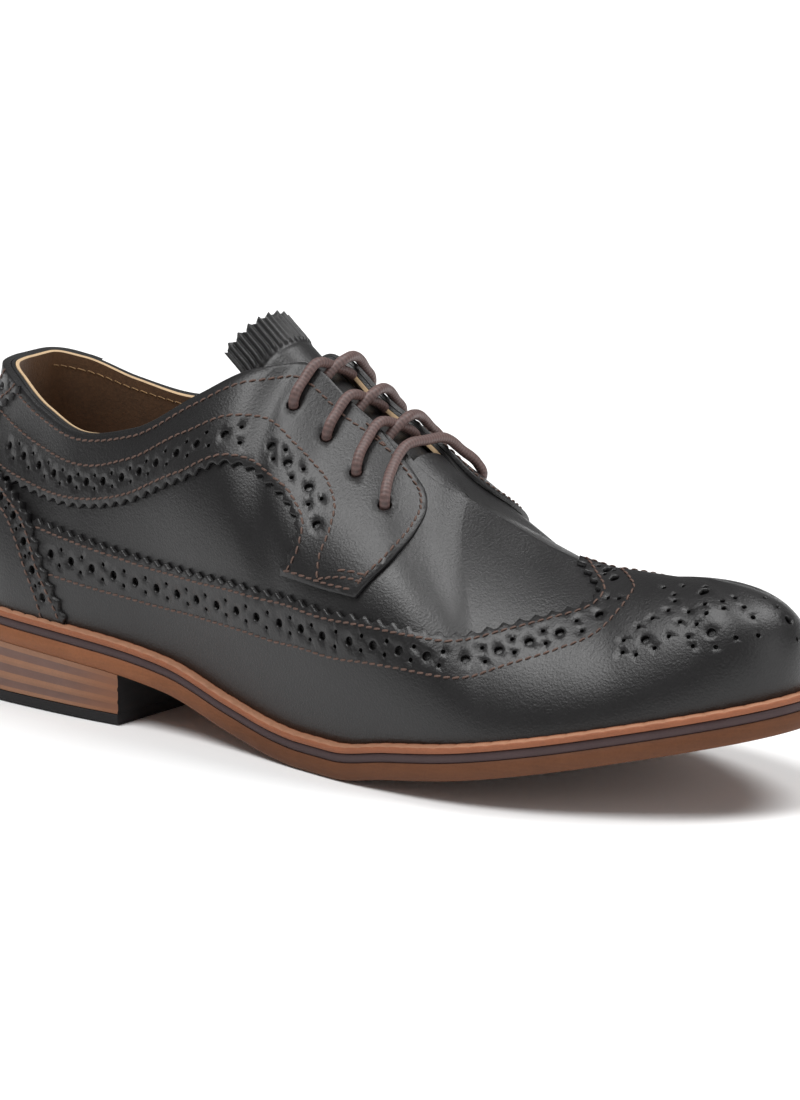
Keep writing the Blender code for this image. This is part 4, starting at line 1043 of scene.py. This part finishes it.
class SHOE_OT_panels(bpy.types.Operator):
    """Build the wing cap, facings and heel strip with their gimped edges and punched holes."""
    bl_idname = "shoe.panels"
    bl_label = "Punched panels"

    def execute(self, context):
        shoe = Shoe(context)
        self.wing(shoe)
        for side, name in ((LATERAL, "lateral_facing"), (MEDIAL, "medial_facing")):
            self.facing(shoe, side, name)
        self.strip(shoe)
        return {"FINISHED"}

    def punches(self, shoe, lower, upper, low_margin, start, stop):
        """Big holes down the middle of a band with pairs of small holes between them."""
        sizes = shoe.sizes
        made = []
        count = int((stop - start) / PUNCH_PITCH)
        pitch = (stop - start) / count
        for i in range(count):
            d = start + (i + 0.5) * pitch
            e = d + pitch * 0.5
            for place, shares, radius in ((d, (0.5,), sizes.big_punch), (e, (0.30, 0.70), sizes.small_punch)):
                if place > stop:
                    continue
                q = lower.at(place)
                here = shoe.last.point(q[0], q[1])
                near = int(np.argmin(np.linalg.norm(upper.solid - here, axis=1)))
                other = upper.chart[near]
                for share in shares:
                    centre = q + (other - q) * (low_margin + (1 - low_margin) * share)
                    if centre[1] < 0.985:
                        made.append((centre, radius))
        return made

    def wing(self, shoe):
        """The toe cap with its long wings, in one ring over both sides."""
        last = shoe.last
        sizes = shoe.sizes
        near = shoe.line(WING_EDGE, LATERAL)
        far = shoe.line(WING_EDGE, MEDIAL)
        near_edge = gimped(near, sizes.tooth_depth, sizes.tooth_pitch)
        far_edge = gimped(far, -sizes.tooth_depth, sizes.tooth_pitch)
        near_edge[-1] = near.chart[-1]
        far_edge[-1] = far.chart[-1]
        peak = WING_EDGE[-1][0]
        stations = np.concatenate([np.linspace(peak, 0.98, 44)[1:], np.linspace(0.98, 1.0, 10)[1:]])
        ridge_near = np.stack([last.along(stations, LATERAL), np.ones(len(stations))], 1)
        ridge_far = np.stack([last.along(stations[:-1], MEDIAL), np.ones(len(stations) - 1)], 1)
        begin = 0.150
        foot_s = np.arange(last.along(begin, LATERAL), last.along(begin, MEDIAL), 0.004)
        foot = np.stack([foot_s, np.full(len(foot_s), PANEL_FOOT)], 1)
        ring = np.vstack([foot, far_edge, ridge_far, ridge_near[::-1], near_edge[::-1]])
        welded = np.zeros(len(ring), bool)
        first = len(foot) + len(far_edge) - 1
        welded[first:first + 1 + len(ridge_far) + len(ridge_near) + 1] = True
        holes = []
        for side, line in ((LATERAL, near), (MEDIAL, far)):
            inner = shoe.line(WING_INNER_ROW, side)
            holes += self.punches(shoe, line, inner, 0.12, 0.006, line.length - 0.0035)
        for side in (LATERAL, MEDIAL):
            for station, share, big in MEDALLION:
                radius = sizes.big_punch if big else sizes.small_punch
                holes.append((np.array([float(last.along(station, side)), share]), radius))
        for station, share, big in MIDDLE_PUNCHES:
            holes.append((np.array([last.toe, share]), sizes.big_punch if big else sizes.small_punch))
        leather = panel(shoe, "wing_cap_panel", ring, welded, holes, PANEL_LOW, sizes.overlay, black(shoe))
        seat(leather, "wing_cap", "wing_cap")

    def facing(self, shoe, side, name):
        """One side's facing with its eyelets, run on as a band under the collar."""
        last = shoe.last
        sizes = shoe.sizes
        band = shoe.line(BAND_EDGE, side)
        sign = -1.0 if side == LATERAL else 1.0
        edge = gimped(band, sign * sizes.tooth_depth, sizes.tooth_pitch)
        bottom = plain(shoe.line(TAB_BOTTOM, side), 0.003)[1:-1]
        front = plain(shoe.line(TAB_FRONT, side), 0.0016)
        stations = np.arange(BAND_EDGE[0][0], TAB_FRONT[-1][0] - 0.003, 0.0075)[::-1]
        top = np.stack([last.along(stations, side), np.ones(len(stations))], 1)
        if side == MEDIAL:
            top[:, 0] = np.where(top[:, 0] < last.toe - 1e-9, top[:, 0] + last.round, top[:, 0])
        ring = np.vstack([edge, bottom, front, top])
        if side == MEDIAL:
            ring = ring[::-1]
        row = shoe.line(BAND_TOP_ROW, side)
        holes = self.punches(shoe, band, row, 0.14, 0.004, band.length - 0.012)
        holes += [(np.array([float(last.along(a, side)), b]), sizes.eyelet_radius) for a, b in EYELETS]
        piece = panel(shoe, name + "_panel", ring, np.zeros(len(ring), bool), holes, PANEL_LOW, sizes.overlay,
                      black(shoe), hole_depth=-0.0008)
        seat(piece, name, name)

    def strip(self, shoe):
        """The strip round the back of the heel, from the sole to the collar."""
        last = shoe.last
        sizes = shoe.sizes
        near = shoe.line(STRIP_EDGE, LATERAL)
        far = shoe.line(STRIP_EDGE, MEDIAL)
        near_edge = gimped(near, -sizes.tooth_depth, sizes.tooth_pitch)
        far_edge = gimped(far, sizes.tooth_depth, sizes.tooth_pitch)
        far_edge[:, 0] -= last.round
        low_s = np.arange(float(far_edge[0, 0]), float(near_edge[0, 0]), 0.003)[1:]
        low = np.stack([low_s, np.full(len(low_s), PANEL_FOOT)], 1)
        high_s = np.arange(float(far_edge[-1, 0]), float(near_edge[-1, 0]), 0.002)[1:][::-1]
        high = np.stack([high_s, np.ones(len(high_s))], 1)
        ring = np.vstack([low, near_edge, high, far_edge[::-1]])
        holes = []
        for side, line, turn in ((LATERAL, near, 0.0), (MEDIAL, far, -last.round)):
            inner = Line(last, self.inner_strip(), side)
            made = self.punches(shoe, line, inner, 0.16, 0.005, line.length - 0.004)
            holes += [(centre + np.array([turn, 0.0]), radius) for centre, radius in made]
        piece = panel(shoe, "heel_strip_panel", ring, np.zeros(len(ring), bool), holes, PANEL_LOW,
                      sizes.overlay * STRIP_LAYERS, black(shoe))
        seat(piece, "heel_strip", "heel_strip")

    @staticmethod
    def inner_strip():
        """The strip's inner stitch row, set back from its edge."""
        return ((0.158, 0.020), (0.152, 0.100), (0.137, 0.220), (0.122, 0.330), (0.102, 0.425),
                (0.068, 0.500), (0.038, 0.580), (0.020, 0.680), (0.0125, 0.790), (0.020, 0.890),
                (0.036, 0.960), (0.048, 1.000))


class SHOE_OT_stitching(bpy.types.Operator):
    """Sew the rows of brown thread along every panel."""
    bl_idname = "shoe.stitching"
    bl_label = "Stitching"

    def execute(self, context):
        shoe = Shoe(context)
        sizes = shoe.sizes
        out = PANEL_LOW + sizes.overlay
        rows = []
        strip_rows = []
        for side in (LATERAL, MEDIAL):
            sign = 1.0 if side == LATERAL else -1.0
            wing = shoe.line(WING_EDGE, side)
            inner = shoe.line(WING_INNER_ROW, side)
            rows.append((wing, -sign * 0.0013, 0.002, wing.length - 0.0005))
            rows.append((inner, 0.0, 0.0, None))
            band = shoe.line(BAND_EDGE, side)
            row = shoe.line(BAND_TOP_ROW, side)
            rows.append((band, sign * 0.0014, 0.004, band.length - 0.002))
            rows.append((row, 0.0, 0.0, None))
            front = shoe.line(TAB_FRONT, side)
            rows.append((front, sign * 0.0020, 0.003, front.length))
            bottom = shoe.line(TAB_BOTTOM, side)
            rows.append((bottom, sign * 0.0018, 0.001, bottom.length - 0.002))
            tab = Line(shoe.last, ((0.604, 0.440), (0.625, 0.462), (0.650, 0.478), (0.663, 0.480)), side)
            rows.append((tab, 0.0, 0.0, None))
            rows.append((tab, sign * 0.0020, 0.006, None))
            top = Line(shoe.last, tuple((v, 0.958) for v in np.linspace(0.075, 0.62, 40))
                       + ((0.66, 0.962), (0.69, 0.958)), side)
            rows.append((top, 0.0, 0.0, None))
            strip = shoe.line(STRIP_EDGE, side)
            strip_rows.append((strip, sign * 0.0013, 0.002, strip.length - 0.001))
            back = Line(shoe.last, SHOE_OT_panels.inner_strip(), side)
            strip_rows.append((back, 0.0, 0.0, None))
        stitches(shoe, rows, "panel_stitching", brown_thread(shoe), "upper", out)
        stitches(shoe, strip_rows, "strip_stitching", brown_thread(shoe), "upper",
                 PANEL_LOW + sizes.overlay * STRIP_LAYERS)
        return {"FINISHED"}


def sole_ring(shoe, grow, count=420):
    """Even places round the foot line and their points at a distance outside it."""
    last = shoe.last
    s = np.linspace(0, last.round, count, endpoint=False)
    return s, last.plan(s) + last.side(s) * grow


def layer(shoe, name, profile, finish, slot, nodes):
    """A sole layer from its edge profile: rows of outward distance and height above the bottom line."""
    last = shoe.last
    rings = []
    for grow, height in profile:
        _, p = sole_ring(shoe, grow)
        z = last.bottom(p[:, 0]) + height
        rings.append(np.column_stack([p, z]))
    count = len(rings[0])
    verts = np.vstack(rings)
    faces = [quad for r in range(len(rings) - 1) for quad in quads(r, count)]
    for r, turn in ((0, -1), (len(rings) - 1, 1)):
        low = int(np.argmin(rings[r][:, 0]))
        for j in range(count // 2):
            corners = ((low - j) % count, (low + j) % count, (low + j + 1) % count, (low - j - 1) % count)
            quad = list(dict.fromkeys(r * count + v for v in corners))
            if len(quad) > 2:
                faces.append(tuple(quad[::turn]))
    return seat(mesh_piece(name, verts, faces, finish, sharp=48.0), slot, *nodes)


class SHOE_OT_sole(bpy.types.Operator):
    """Build the outsole, the midsole, the scalloped welt and the insole."""
    bl_idname = "shoe.sole"
    bl_label = "Sole and welt"

    def execute(self, context):
        shoe = Shoe(context)
        sizes = shoe.sizes
        colours = shoe.colours
        grow = sizes.welt_margin
        thick = sizes.outsole_thick
        outsole = shared_finish("outsole_edge", edge_finish, tuple(colours.outsole), 0.62, 1.4, 1.9)
        profile = ((grow - 0.0012, 0.0), (grow - 0.0005, 0.0003), (grow - 0.0001, 0.0011),
                   (grow + 0.0001, thick * 0.5), (grow - 0.0001, thick - 0.0006),
                   (grow - 0.0006, thick), (grow - 0.003, thick))
        layer(shoe, "outsole_layer", profile, outsole, "outsole", ("outsole",))
        base = thick + 0.0001
        plum = shared_finish("midsole_edge", edge_finish, tuple(colours.midsole), 0.6, 1.3)
        high = sizes.midsole_thick
        profile = ((grow - 0.003, base), (grow - 0.0008, base), (grow - 0.0004, base + 0.0004),
                   (grow - 0.0002, base + high * 0.5), (grow - 0.0004, base + high - 0.0003),
                   (grow - 0.0008, base + high), (grow - 0.003, base + high))
        layer(shoe, "midsole_layer", profile, plum, "midsole", ("midsole",))
        self.welt(shoe, base + high + 0.0001)
        insole = shared_finish("insole_leather", suede_finish, tuple(colours.insole), 1.25, 0.0001)
        edge = -(sizes.wall + 0.0002)
        top = shoe.last.stack + 0.002
        layer(shoe, "insole_sheet", ((edge, top - 0.002), (edge, top - 0.0003), (edge - 0.0006, top)), insole,
              "insole", ("insole",))
        return {"FINISHED"}

    def welt(self, shoe, base):
        """The welt's ring, its crown wheeled into scallops."""
        sizes = shoe.sizes
        colours = shoe.colours
        last = shoe.last
        grow = sizes.welt_margin
        tall = sizes.welt_thick
        pitch = 0.0053
        count = int(round(last.round / pitch))
        per = 8
        s, _ = sole_ring(shoe, 0.0, count * per)
        phase = np.tile(np.arange(per) / per, count)
        scallop = np.abs(np.sin(math.pi * phase))**0.55
        rows = ((grow - 0.0030, 0.0, 0), (grow - 0.0002, 0.0, 0), (grow + 0.0001, 0.0004, 0),
                (grow + 0.0001, tall * 0.62, 0), (grow - 0.0002, tall * 0.80, 0.5),
                (grow - 0.0008, tall * 0.95, 1.0), (grow - 0.0018, tall * 1.0, 1.0),
                (grow - 0.0028, tall * 0.98, 0.4), (grow - 0.0050, tall * 1.1, 0.0))
        rings = []
        for out, height, share in rows:
            amount = scallop * share
            swell = 0.00025 * (amount - share * 0.5) * (share > 0.4)
            p = last.plan(s) + last.side(s) * (out + swell)[:, None]
            z = last.bottom(p[:, 0]) + base + height + 0.00042 * (amount - 0.9 * share)
            rings.append(np.column_stack([p, z]))
        total = len(s)
        faces = [quad for r in range(len(rings) - 1) for quad in quads(r, total)]
        marks = [1 if r in (4, 5, 6) else 0 for r in range(len(rings) - 1) for _ in range(total)]
        finishes = [shared_finish("welt_leather", edge_finish, tuple(colours.welt), 0.6, 1.3),
                    shared_finish("welt_crown", edge_finish, tuple(colours.welt_thread), 0.6, 1.25)]
        ring = mesh_piece("welt_ring", np.vstack(rings), faces, finishes, sharp=50.0, marks=marks)
        seat(ring, "welt", "welt")


class SHOE_OT_heel(bpy.types.Operator):
    """Build the stacked heel with its light ridges and the black top lift."""
    bl_idname = "shoe.heel"
    bl_label = "Heel"

    def execute(self, context):
        shoe = Shoe(context)
        sizes = shoe.sizes
        colours = shoe.colours
        last = shoe.last
        front = -ORIGIN_SHARE * sizes.last_length + sizes.heel_length
        s, line = sole_ring(shoe, sizes.welt_margin - 0.0003, 900)
        order = np.argsort(np.mod(s + last.round / 2, last.round))
        line = line[order]
        line = line[line[:, 0] < front - 0.0002]
        near = np.array([[front, np.interp(front, *self.side_of(shoe, LATERAL))]])
        far = np.array([[front, np.interp(front, *self.side_of(shoe, MEDIAL))]])
        line = np.vstack([far, line, near])
        run = travelled(line)
        u = np.linspace(0, run[-1], 130)
        line = np.stack([np.interp(u, run, line[:, k]) for k in (0, 1)], 1)
        lift = sizes.lift_thick
        low = lift + 0.0001
        levels = [(0.0, 0.0003), (0.02, 0.0)]
        marks_by_level = [0, 0]
        bands = ((0.025, 0.05, 0.0, 0), (0.09, 0.24, 0.00030, 1), (0.29, 0.33, 0.0, 0),
                 (0.39, 0.56, 0.00030, 1), (0.61, 0.65, 0.0, 0), (0.71, 0.88, 0.00030, 1),
                 (0.93, 1.0, 0.0001, 0))
        for start, stop, inset, mark in bands:
            levels += [(start, inset), (stop, inset)]
            marks_by_level += [mark, mark]
        self.layers(shoe, line, front, low, levels, marks_by_level)
        black_rubber = shared_finish("top_lift_rubber", edge_finish, tuple(colours.lift), 0.7, 1.5)
        rings = [(0.0008, 0.0), (0.0002, 0.0003), (0.0, 0.0008), (0.0, lift - 0.0002), (0.0003, lift)]
        self.top_lift(line, front, rings, black_rubber)
        return {"FINISHED"}

    @staticmethod
    def side_of(shoe, side):
        """One side of the heel's outline, as places along and across the shoe."""
        s, line = sole_ring(shoe, shoe.sizes.welt_margin - 0.0003, 1400)
        half = line[(s < shoe.last.toe) == (side == LATERAL)]
        half = half[(half[:, 0] > 0.0) & (half[:, 0] < 0.12)]
        half = half[np.argsort(half[:, 0])]
        return half[:, 0], half[:, 1]

    @staticmethod
    def drawn_in(line, front, amount):
        """The heel's outline moved in by an amount, with the breast kept flat."""
        way = line - np.array([front - 0.03, 0.0])
        moved = line - unit(way) * amount
        moved[0] = (front, line[0, 1] - amount)
        moved[-1] = (front, line[-1, 1] + amount)
        return moved

    def layers(self, shoe, line, front, low, levels, level_marks):
        """The stack of heel layers up to the outsole."""
        colours = shoe.colours
        last = shoe.last
        rings = []
        for share, amount in levels:
            p = self.drawn_in(line, front, amount)
            top = last.bottom(p[:, 0]) + 0.0002
            rings.append(np.column_stack([p, low + (top - low) * share]))
        count = len(line)
        verts = np.vstack(rings)
        faces = []
        marks = []
        for r in range(len(rings) - 1):
            faces += quads(r, count)
            marks += [1 if level_marks[r] and level_marks[r + 1] else 0] * (count - 1) + [2]
        for r in (0, len(rings) - 1):
            closed = cap(r, count)
            faces += closed
            marks += [0] * len(closed)
        finishes = [self.heel_finish("heel_ridge", tuple(colours.ridge), tuple(colours.outsole), front),
                    self.heel_finish("heel_groove", tuple(colours.groove), tuple(colours.outsole), front),
                    shared_finish("heel_breast", edge_finish, tuple(colours.lift), 0.7, 1.5)]
        piece = mesh_piece("heel_layers", verts, faces, finishes, sharp=35.0, marks=marks)
        seat(piece, "heel_stack", "heel_stack")

    def heel_finish(self, name, colour, base, front):
        """A heel layer whose colour fades into the outsole's brown towards the breast."""
        f = Finish(name)
        along = f.axis(0)
        speck = f.noise(1300.0, 4.0, 0.7)
        cloud = f.noise(140.0, 4.0, 0.6)
        fade = ((along - (front - 0.022)) / 0.020 + (cloud - 0.5) * 0.5).clamp() * 0.75
        share = (speck * 0.8 + cloud * 0.6 - 0.3).clamp()
        tone = f.mix(share, shade(colour, 0.75), shade(colour, 1.3))
        f.set(Base_Color=f.mix(fade, tone, shade(base, 1.8)))
        f.set(Roughness=0.62 + (speck - 0.5) * 0.25)
        f.set(Normal=f.bump(speck, 0.00012, 0.6))
        return f.material

    def top_lift(self, line, front, rows, finish):
        """The black lift that the heel stands on."""
        rings = [np.column_stack([self.drawn_in(line, front, amount), np.full(len(line), z)])
                 for amount, z in rows]
        count = len(line)
        faces = [quad for r in range(len(rings) - 1) for quad in quads(r, count)]
        for r in (0, len(rings) - 1):
            faces += cap(r, count)
        piece = mesh_piece("heel_lift", np.vstack(rings), faces, finish, sharp=35.0)
        seat(piece, "heel_top_lift", "heel_top_lift")


def tongue_rows(shoe):
    """Cross lines of the tongue from under the vamp to its free top, and the way it climbs."""
    last = shoe.last
    clear = shoe.sizes.wall + 0.0009
    shares = np.linspace(0.80, 0.985, 9)
    lines = []
    for v in (0.795, 0.763, 0.739, 0.720, 0.700, 0.680, 0.659, 0.638, 0.618, 0.599, 0.580):
        sides = {}
        for side in (LATERAL, MEDIAL):
            s = np.full(len(shares), float(last.along(v, side)))
            t = shares if v < 0.75 else 0.80 + (shares - 0.80) * 0.62
            sides[side] = last.off(s, t, 0.0) - last.raw_normal(s, t) * clear
        a = sides[LATERAL]
        b = sides[MEDIAL][::-1]
        width = np.linalg.norm(b[0] - a[-1])
        arch = 0.16 if v < 0.75 else 0.0
        c1 = a[-1] + unit(a[-1] - a[-2]) * width * arch
        c2 = b[0] + unit(b[0] - b[1]) * width * arch
        u = np.linspace(0, 1, 22)[1:-1][:, None]
        middle = arched(a[-1], c1, c2, b[0], u)
        lines.append(np.vstack([a, middle, b]))
    climb = unit(lines[-1].mean(axis=0) - lines[-4].mean(axis=0))
    inward = np.array([-climb[2], 0.0, climb[0]])
    first = lines[-1]
    half = np.abs(first[:, 1]).max()
    turn = np.linspace(-1.35, 1.35, first.shape[0])
    length = shoe.sizes.last_length
    radius = 0.054 * length
    crown = first[first.shape[0] // 2]
    rise = 0.107 * length
    for f in np.linspace(0.08, 1.0, 16):
        row = first + climb * rise * f
        out = (np.abs(first[:, 1]) / half)[:, None]**2
        row[:, 1] *= 1 - 0.30 * f
        row += inward * out * 0.0036 * min(1.0, 2.5 * f)
        drop = radius * (1 - np.cos(turn))[:, None]
        round_row = crown * np.array([1.0, 0.0, 1.0]) + climb * rise * f + inward * drop
        round_row[:, 1] = radius * np.sin(turn)
        share = min(1.0, f * 1.3)
        row = row * (1 - share) + round_row * share
        row -= inward * 0.008 * f * f * length
        lines.append(row)
    return np.array(lines)


class SHOE_OT_tongue(bpy.types.Operator):
    """Build the tongue with its pleated, pinked top."""
    bl_idname = "shoe.tongue"
    bl_label = "Tongue"

    def execute(self, context):
        shoe = Shoe(context)
        rows = tongue_rows(shoe)
        count = len(rows)
        fine = 190
        grid = np.zeros((count, fine, 3))
        for i in range(count):
            run = travelled(rows[i])
            u = np.linspace(0, run[-1], fine)
            grid[i] = np.stack([smooth_table(u, run, rows[i][:, k]) for k in range(3)], 1)
        run = travelled(grid[:, fine // 2])
        pleated = run[-1] - 0.013
        levels = np.concatenate([np.arange(0, pleated, 0.0016), np.linspace(pleated, run[-1], 22)])
        shape = np.zeros((len(levels), fine, 3))
        for j in range(fine):
            for k in range(3):
                shape[:, j, k] = smooth_table(levels, run, grid[:, j, k])
        du = np.gradient(shape, axis=1)
        dv = np.gradient(shape, axis=0)
        out = unit(np.cross(du, dv))
        left = (run[-1] - levels)[:, None]
        u = np.linspace(-1, 1, fine)[None, :]
        pleats = 0.5 + 0.5 * np.cos(u * math.pi * 21.0)
        mask = ease((0.0108 - left) / 0.0012) * ease((0.98 - np.abs(u)) / 0.05)
        height = (pleats - 0.35) * 0.00085 * mask
        dent = -0.00035 * np.exp(-((left - 0.0112) / 0.0006)**2)
        top = shape + out * (height + dent)[..., None]
        teeth = np.sqrt(1 - np.abs(np.mod(u * 5.25, 1.0) * 2 - 1)) * 0.0022
        climb = unit(dv)
        push = ease(1 - left / 0.0030)
        top = top + climb * (push * (teeth - 0.0012))[..., None]
        under = shape - out * 0.0022 + climb * (push * (teeth - 0.0012))[..., None]
        rows_count = len(levels)
        verts = np.concatenate([top.reshape(-1, 3), under.reshape(-1, 3)])
        shift = rows_count * fine
        faces = []
        marks = []
        for i in range(rows_count - 1):
            for j in range(fine - 1):
                a, b, c, d = i * fine + j, i * fine + j + 1, (i + 1) * fine + j + 1, (i + 1) * fine + j
                faces.append((a, b, c, d))
                faces.append((a + shift, d + shift, c + shift, b + shift))
                marks += [0, 1]
        border = [(i, 0) for i in range(rows_count)] + [(rows_count - 1, j) for j in range(1, fine)]
        border += [(i, fine - 1) for i in range(rows_count - 2, -1, -1)]
        border += [(0, j) for j in range(fine - 2, 0, -1)]
        ids = [i * fine + j for i, j in border]
        for k in range(len(ids)):
            a, b = ids[k], ids[(k + 1) % len(ids)]
            faces.append((a, b, b + shift, a + shift))
            marks.append(0)
        tan = shared_finish("tan_lining", suede_finish, tuple(shoe.colours.lining), 1.3, 0.00012)
        finishes = [black(shoe), tan]
        piece = mesh_piece("tongue_leaf", verts, faces, finishes, sharp=60.0, marks=marks)
        seat(piece, "tongue", "tongue")
        return {"FINISHED"}


def tube(name, path, radius, finish, node):
    """A round cord along a path, with its length and turn kept for the braid."""
    sides = 16
    way = unit(np.gradient(path, axis=0))
    run = travelled(path)
    side = np.array([0.0, 0.0, 1.0])
    verts = []
    braid = []
    turn = np.linspace(0, 2 * math.pi, sides, endpoint=False)
    for p, d, r in zip(path, way, run):
        u = unit(np.cross(side, d))
        v = np.cross(d, u)
        side = v
        size = radius * (1.0 + 0.02 * math.sin(r * 900.0))
        verts.extend(p + (np.cos(turn)[:, None] * u + np.sin(turn)[:, None] * v) * size)
        braid.extend((r, math.cos(q), math.sin(q)) for q in turn)
    faces = [quad for i in range(len(path) - 1) for quad in quads(i, sides)]
    faces.append(tuple(range(sides))[::-1])
    faces.append(tuple(range((len(path) - 1) * sides, len(path) * sides)))
    piece = mesh_piece(name, verts, faces, finish, sharp=60.0)
    mark = piece.data.attributes.new("braid", "FLOAT_VECTOR", "POINT")
    mark.data.foreach_set("vector", np.array(braid, np.float32).ravel())
    return seat(piece, node, node)


def rounded(points, steps):
    """An even, naturally rounded line through a few points."""
    points = np.array(points, float)
    span = travelled(points)
    u = np.linspace(0, span[-1], steps)
    return np.stack([Line.curve(u, span, points[:, k]) for k in range(3)], 1)


class SHOE_OT_laces(bpy.types.Operator):
    """Run the round waxed lace through the four pairs of eyelets."""
    bl_idname = "shoe.laces"
    bl_label = "Laces"

    def execute(self, context):
        shoe = Shoe(context)
        sizes = shoe.sizes
        finish = shared_finish("lace_cord", cord_finish, tuple(shoe.colours.lace))
        radius = sizes.lace_radius
        above = PANEL_LOW + sizes.overlay + radius

        def spot(station, height, side, out):
            s = float(shoe.last.along(station, side))
            return shoe.last.point(s, height) + shoe.last.normal(s, height) * out

        def leg(number, side):
            station, height = EYELETS[number]
            away = 1.0 - height
            return [spot(station, height, side, -0.0030), spot(station, height, side, -0.0004),
                    spot(station, height + away * 0.05, side, above * 0.75),
                    spot(station, height + away * 0.22, side, above + 0.0006),
                    spot(station, height + away * 0.55, side, above + 0.0006),
                    spot(station, height + away * 0.98, side, above + 0.0002)]

        low = leg(0, LATERAL)
        far = leg(0, MEDIAL)
        middle = (low[-1] + far[-1]) / 2 + np.array([0.0, 0.0, 0.0006])
        tube("lace_bottom_bar", rounded(low + [middle] + far[::-1], 90), radius, finish, "lace_bar")
        for number in (1, 2, 3):
            node = "lace_cross_%d" % number
            station = EYELETS[number][0]
            for side in (LATERAL, MEDIAL):
                mine = leg(number, side)
                theirs = leg(number, -side)
                before = spot(station + 0.04, 1.0, side, 0.0)
                ahead = unit(before - spot(station, 1.0, side, 0.0))
                down = np.array([-0.62, 0.0, -0.78])
                lift = -0.0004 if side == LATERAL else 0.0024
                mid = (mine[-1] + theirs[-1]) / 2 + down * (0.0010 - lift) + ahead * 0.0014
                dive = mine[-1] * 0.18 + theirs[-1] * 0.82 + down * 0.0036 + ahead * 0.0034
                end = theirs[-1] + down * 0.0062 + ahead * 0.0058
                path = rounded(mine + [mid, dive, end], 80)
                name = "lace_%d_%s" % (number, "outer" if side == LATERAL else "inner")
                tube(name, path, radius, finish, node)
        return {"FINISHED"}


class SHOE_OT_stage(bpy.types.Operator):
    """Set the plain floor, soft lights and the camera."""
    bl_idname = "shoe.stage"
    bl_label = "Studio"

    def execute(self, context):
        colours = context.scene.shoe_colours
        size = 6.0
        low = -0.0002
        verts = [(-size, -size, low), (size, -size, low), (size, size, low), (-size, size, low)]
        paper = Finish("studio_paper")
        tone = tuple(colours.floor)
        grain = paper.noise(40.0, 2.0, 0.5)
        paper.set(Base_Color=paper.mix(grain * 0.2, tone, shade(tone, 0.985)), Roughness=0.9,
                  Specular_IOR_Level=0.0)
        floor = mesh_piece("studio_floor", verts, [(0, 1, 2, 3)], paper.material)
        world = bpy.data.worlds.new("studio")
        context.scene.world = world
        world.use_nodes = True
        sky = world.node_tree.nodes["Background"]
        sky.inputs["Color"].default_value = (1.0, 1.0, 1.0, 1.0)
        sky.inputs["Strength"].default_value = 0.24
        context.scene.view_settings.view_transform = "Standard"
        for name, toward, strength, spread in (("key", (-0.12, -0.38, 0.92), 2.3, 34.0),
                                               ("overhead", (0.30, 0.34, 0.89), 1.7, 32.0),
                                               ("toe_side", (0.96, 0.05, 0.28), 0.45, 36.0)):
            lamp = bpy.data.lights.new(name, "SUN")
            lamp.energy = strength
            lamp.angle = math.radians(spread)
            thing = bpy.data.objects.new(name, lamp)
            thing.rotation_mode = "QUATERNION"
            thing.rotation_quaternion = Vector(toward).to_track_quat("Z", "Y")
            context.scene.collection.objects.link(thing)
        azimuth, elevation, distance = math.radians(36.95), math.radians(12.4), 1.5
        target = Vector((0.1164, 0.0, 0.0561))
        back = Vector((math.sin(azimuth) * math.cos(elevation), -math.cos(azimuth) * math.cos(elevation),
                       math.sin(elevation)))
        camera = bpy.data.objects.new("photo_camera", bpy.data.cameras.new("photo_camera"))
        camera.data.sensor_width = 36.0
        # 3.49 pixels to a millimetre in a frame 1100 pixels tall, seen from 1500 mm
        camera.data.lens = 1500 * 3.49 * 36.0 / 1100
        camera.data.clip_start = 0.05
        camera.location = target + back * distance
        camera.rotation_mode = "QUATERNION"
        camera.rotation_quaternion = (-back).to_track_quat("-Z", "Y")
        context.scene.collection.objects.link(camera)
        context.scene.camera = camera
        return {"FINISHED"}


class SHOE_PT_panel(bpy.types.Panel):
    """Sizes, colours and building steps of the shoe."""
    bl_label = "Wingtip Oxford"
    bl_idname = "SHOE_PT_panel"
    bl_space_type = "VIEW_3D"
    bl_region_type = "UI"
    bl_category = "Wingtip Oxford"

    def draw(self, context):
        for group in (context.scene.shoe_sizes, context.scene.shoe_colours):
            box = self.layout.box()
            for name in group.bl_rna.properties.keys():
                if name not in ("rna_type", "name"):
                    box.prop(group, name)
        for step in STEPS:
            self.layout.operator(step.bl_idname)


STEPS = (SHOE_OT_stage, SHOE_OT_upper, SHOE_OT_panels, SHOE_OT_stitching, SHOE_OT_sole, SHOE_OT_heel,
         SHOE_OT_tongue, SHOE_OT_laces)
CLASSES = (ShoeSizes, ShoeColours, *STEPS, SHOE_PT_panel)


def register():
    for part in CLASSES:
        bpy.utils.register_class(part)
    bpy.types.Scene.shoe_sizes = PointerProperty(type=ShoeSizes)
    bpy.types.Scene.shoe_colours = PointerProperty(type=ShoeColours)


def unregister():
    del bpy.types.Scene.shoe_colours
    del bpy.types.Scene.shoe_sizes
    for part in reversed(CLASSES):
        bpy.utils.unregister_class(part)


def main():
    register()
    for step in STEPS:
        group, name = step.bl_idname.split(".")
        getattr(getattr(bpy.ops, group), name)()


if __name__ == "__main__":
    main()
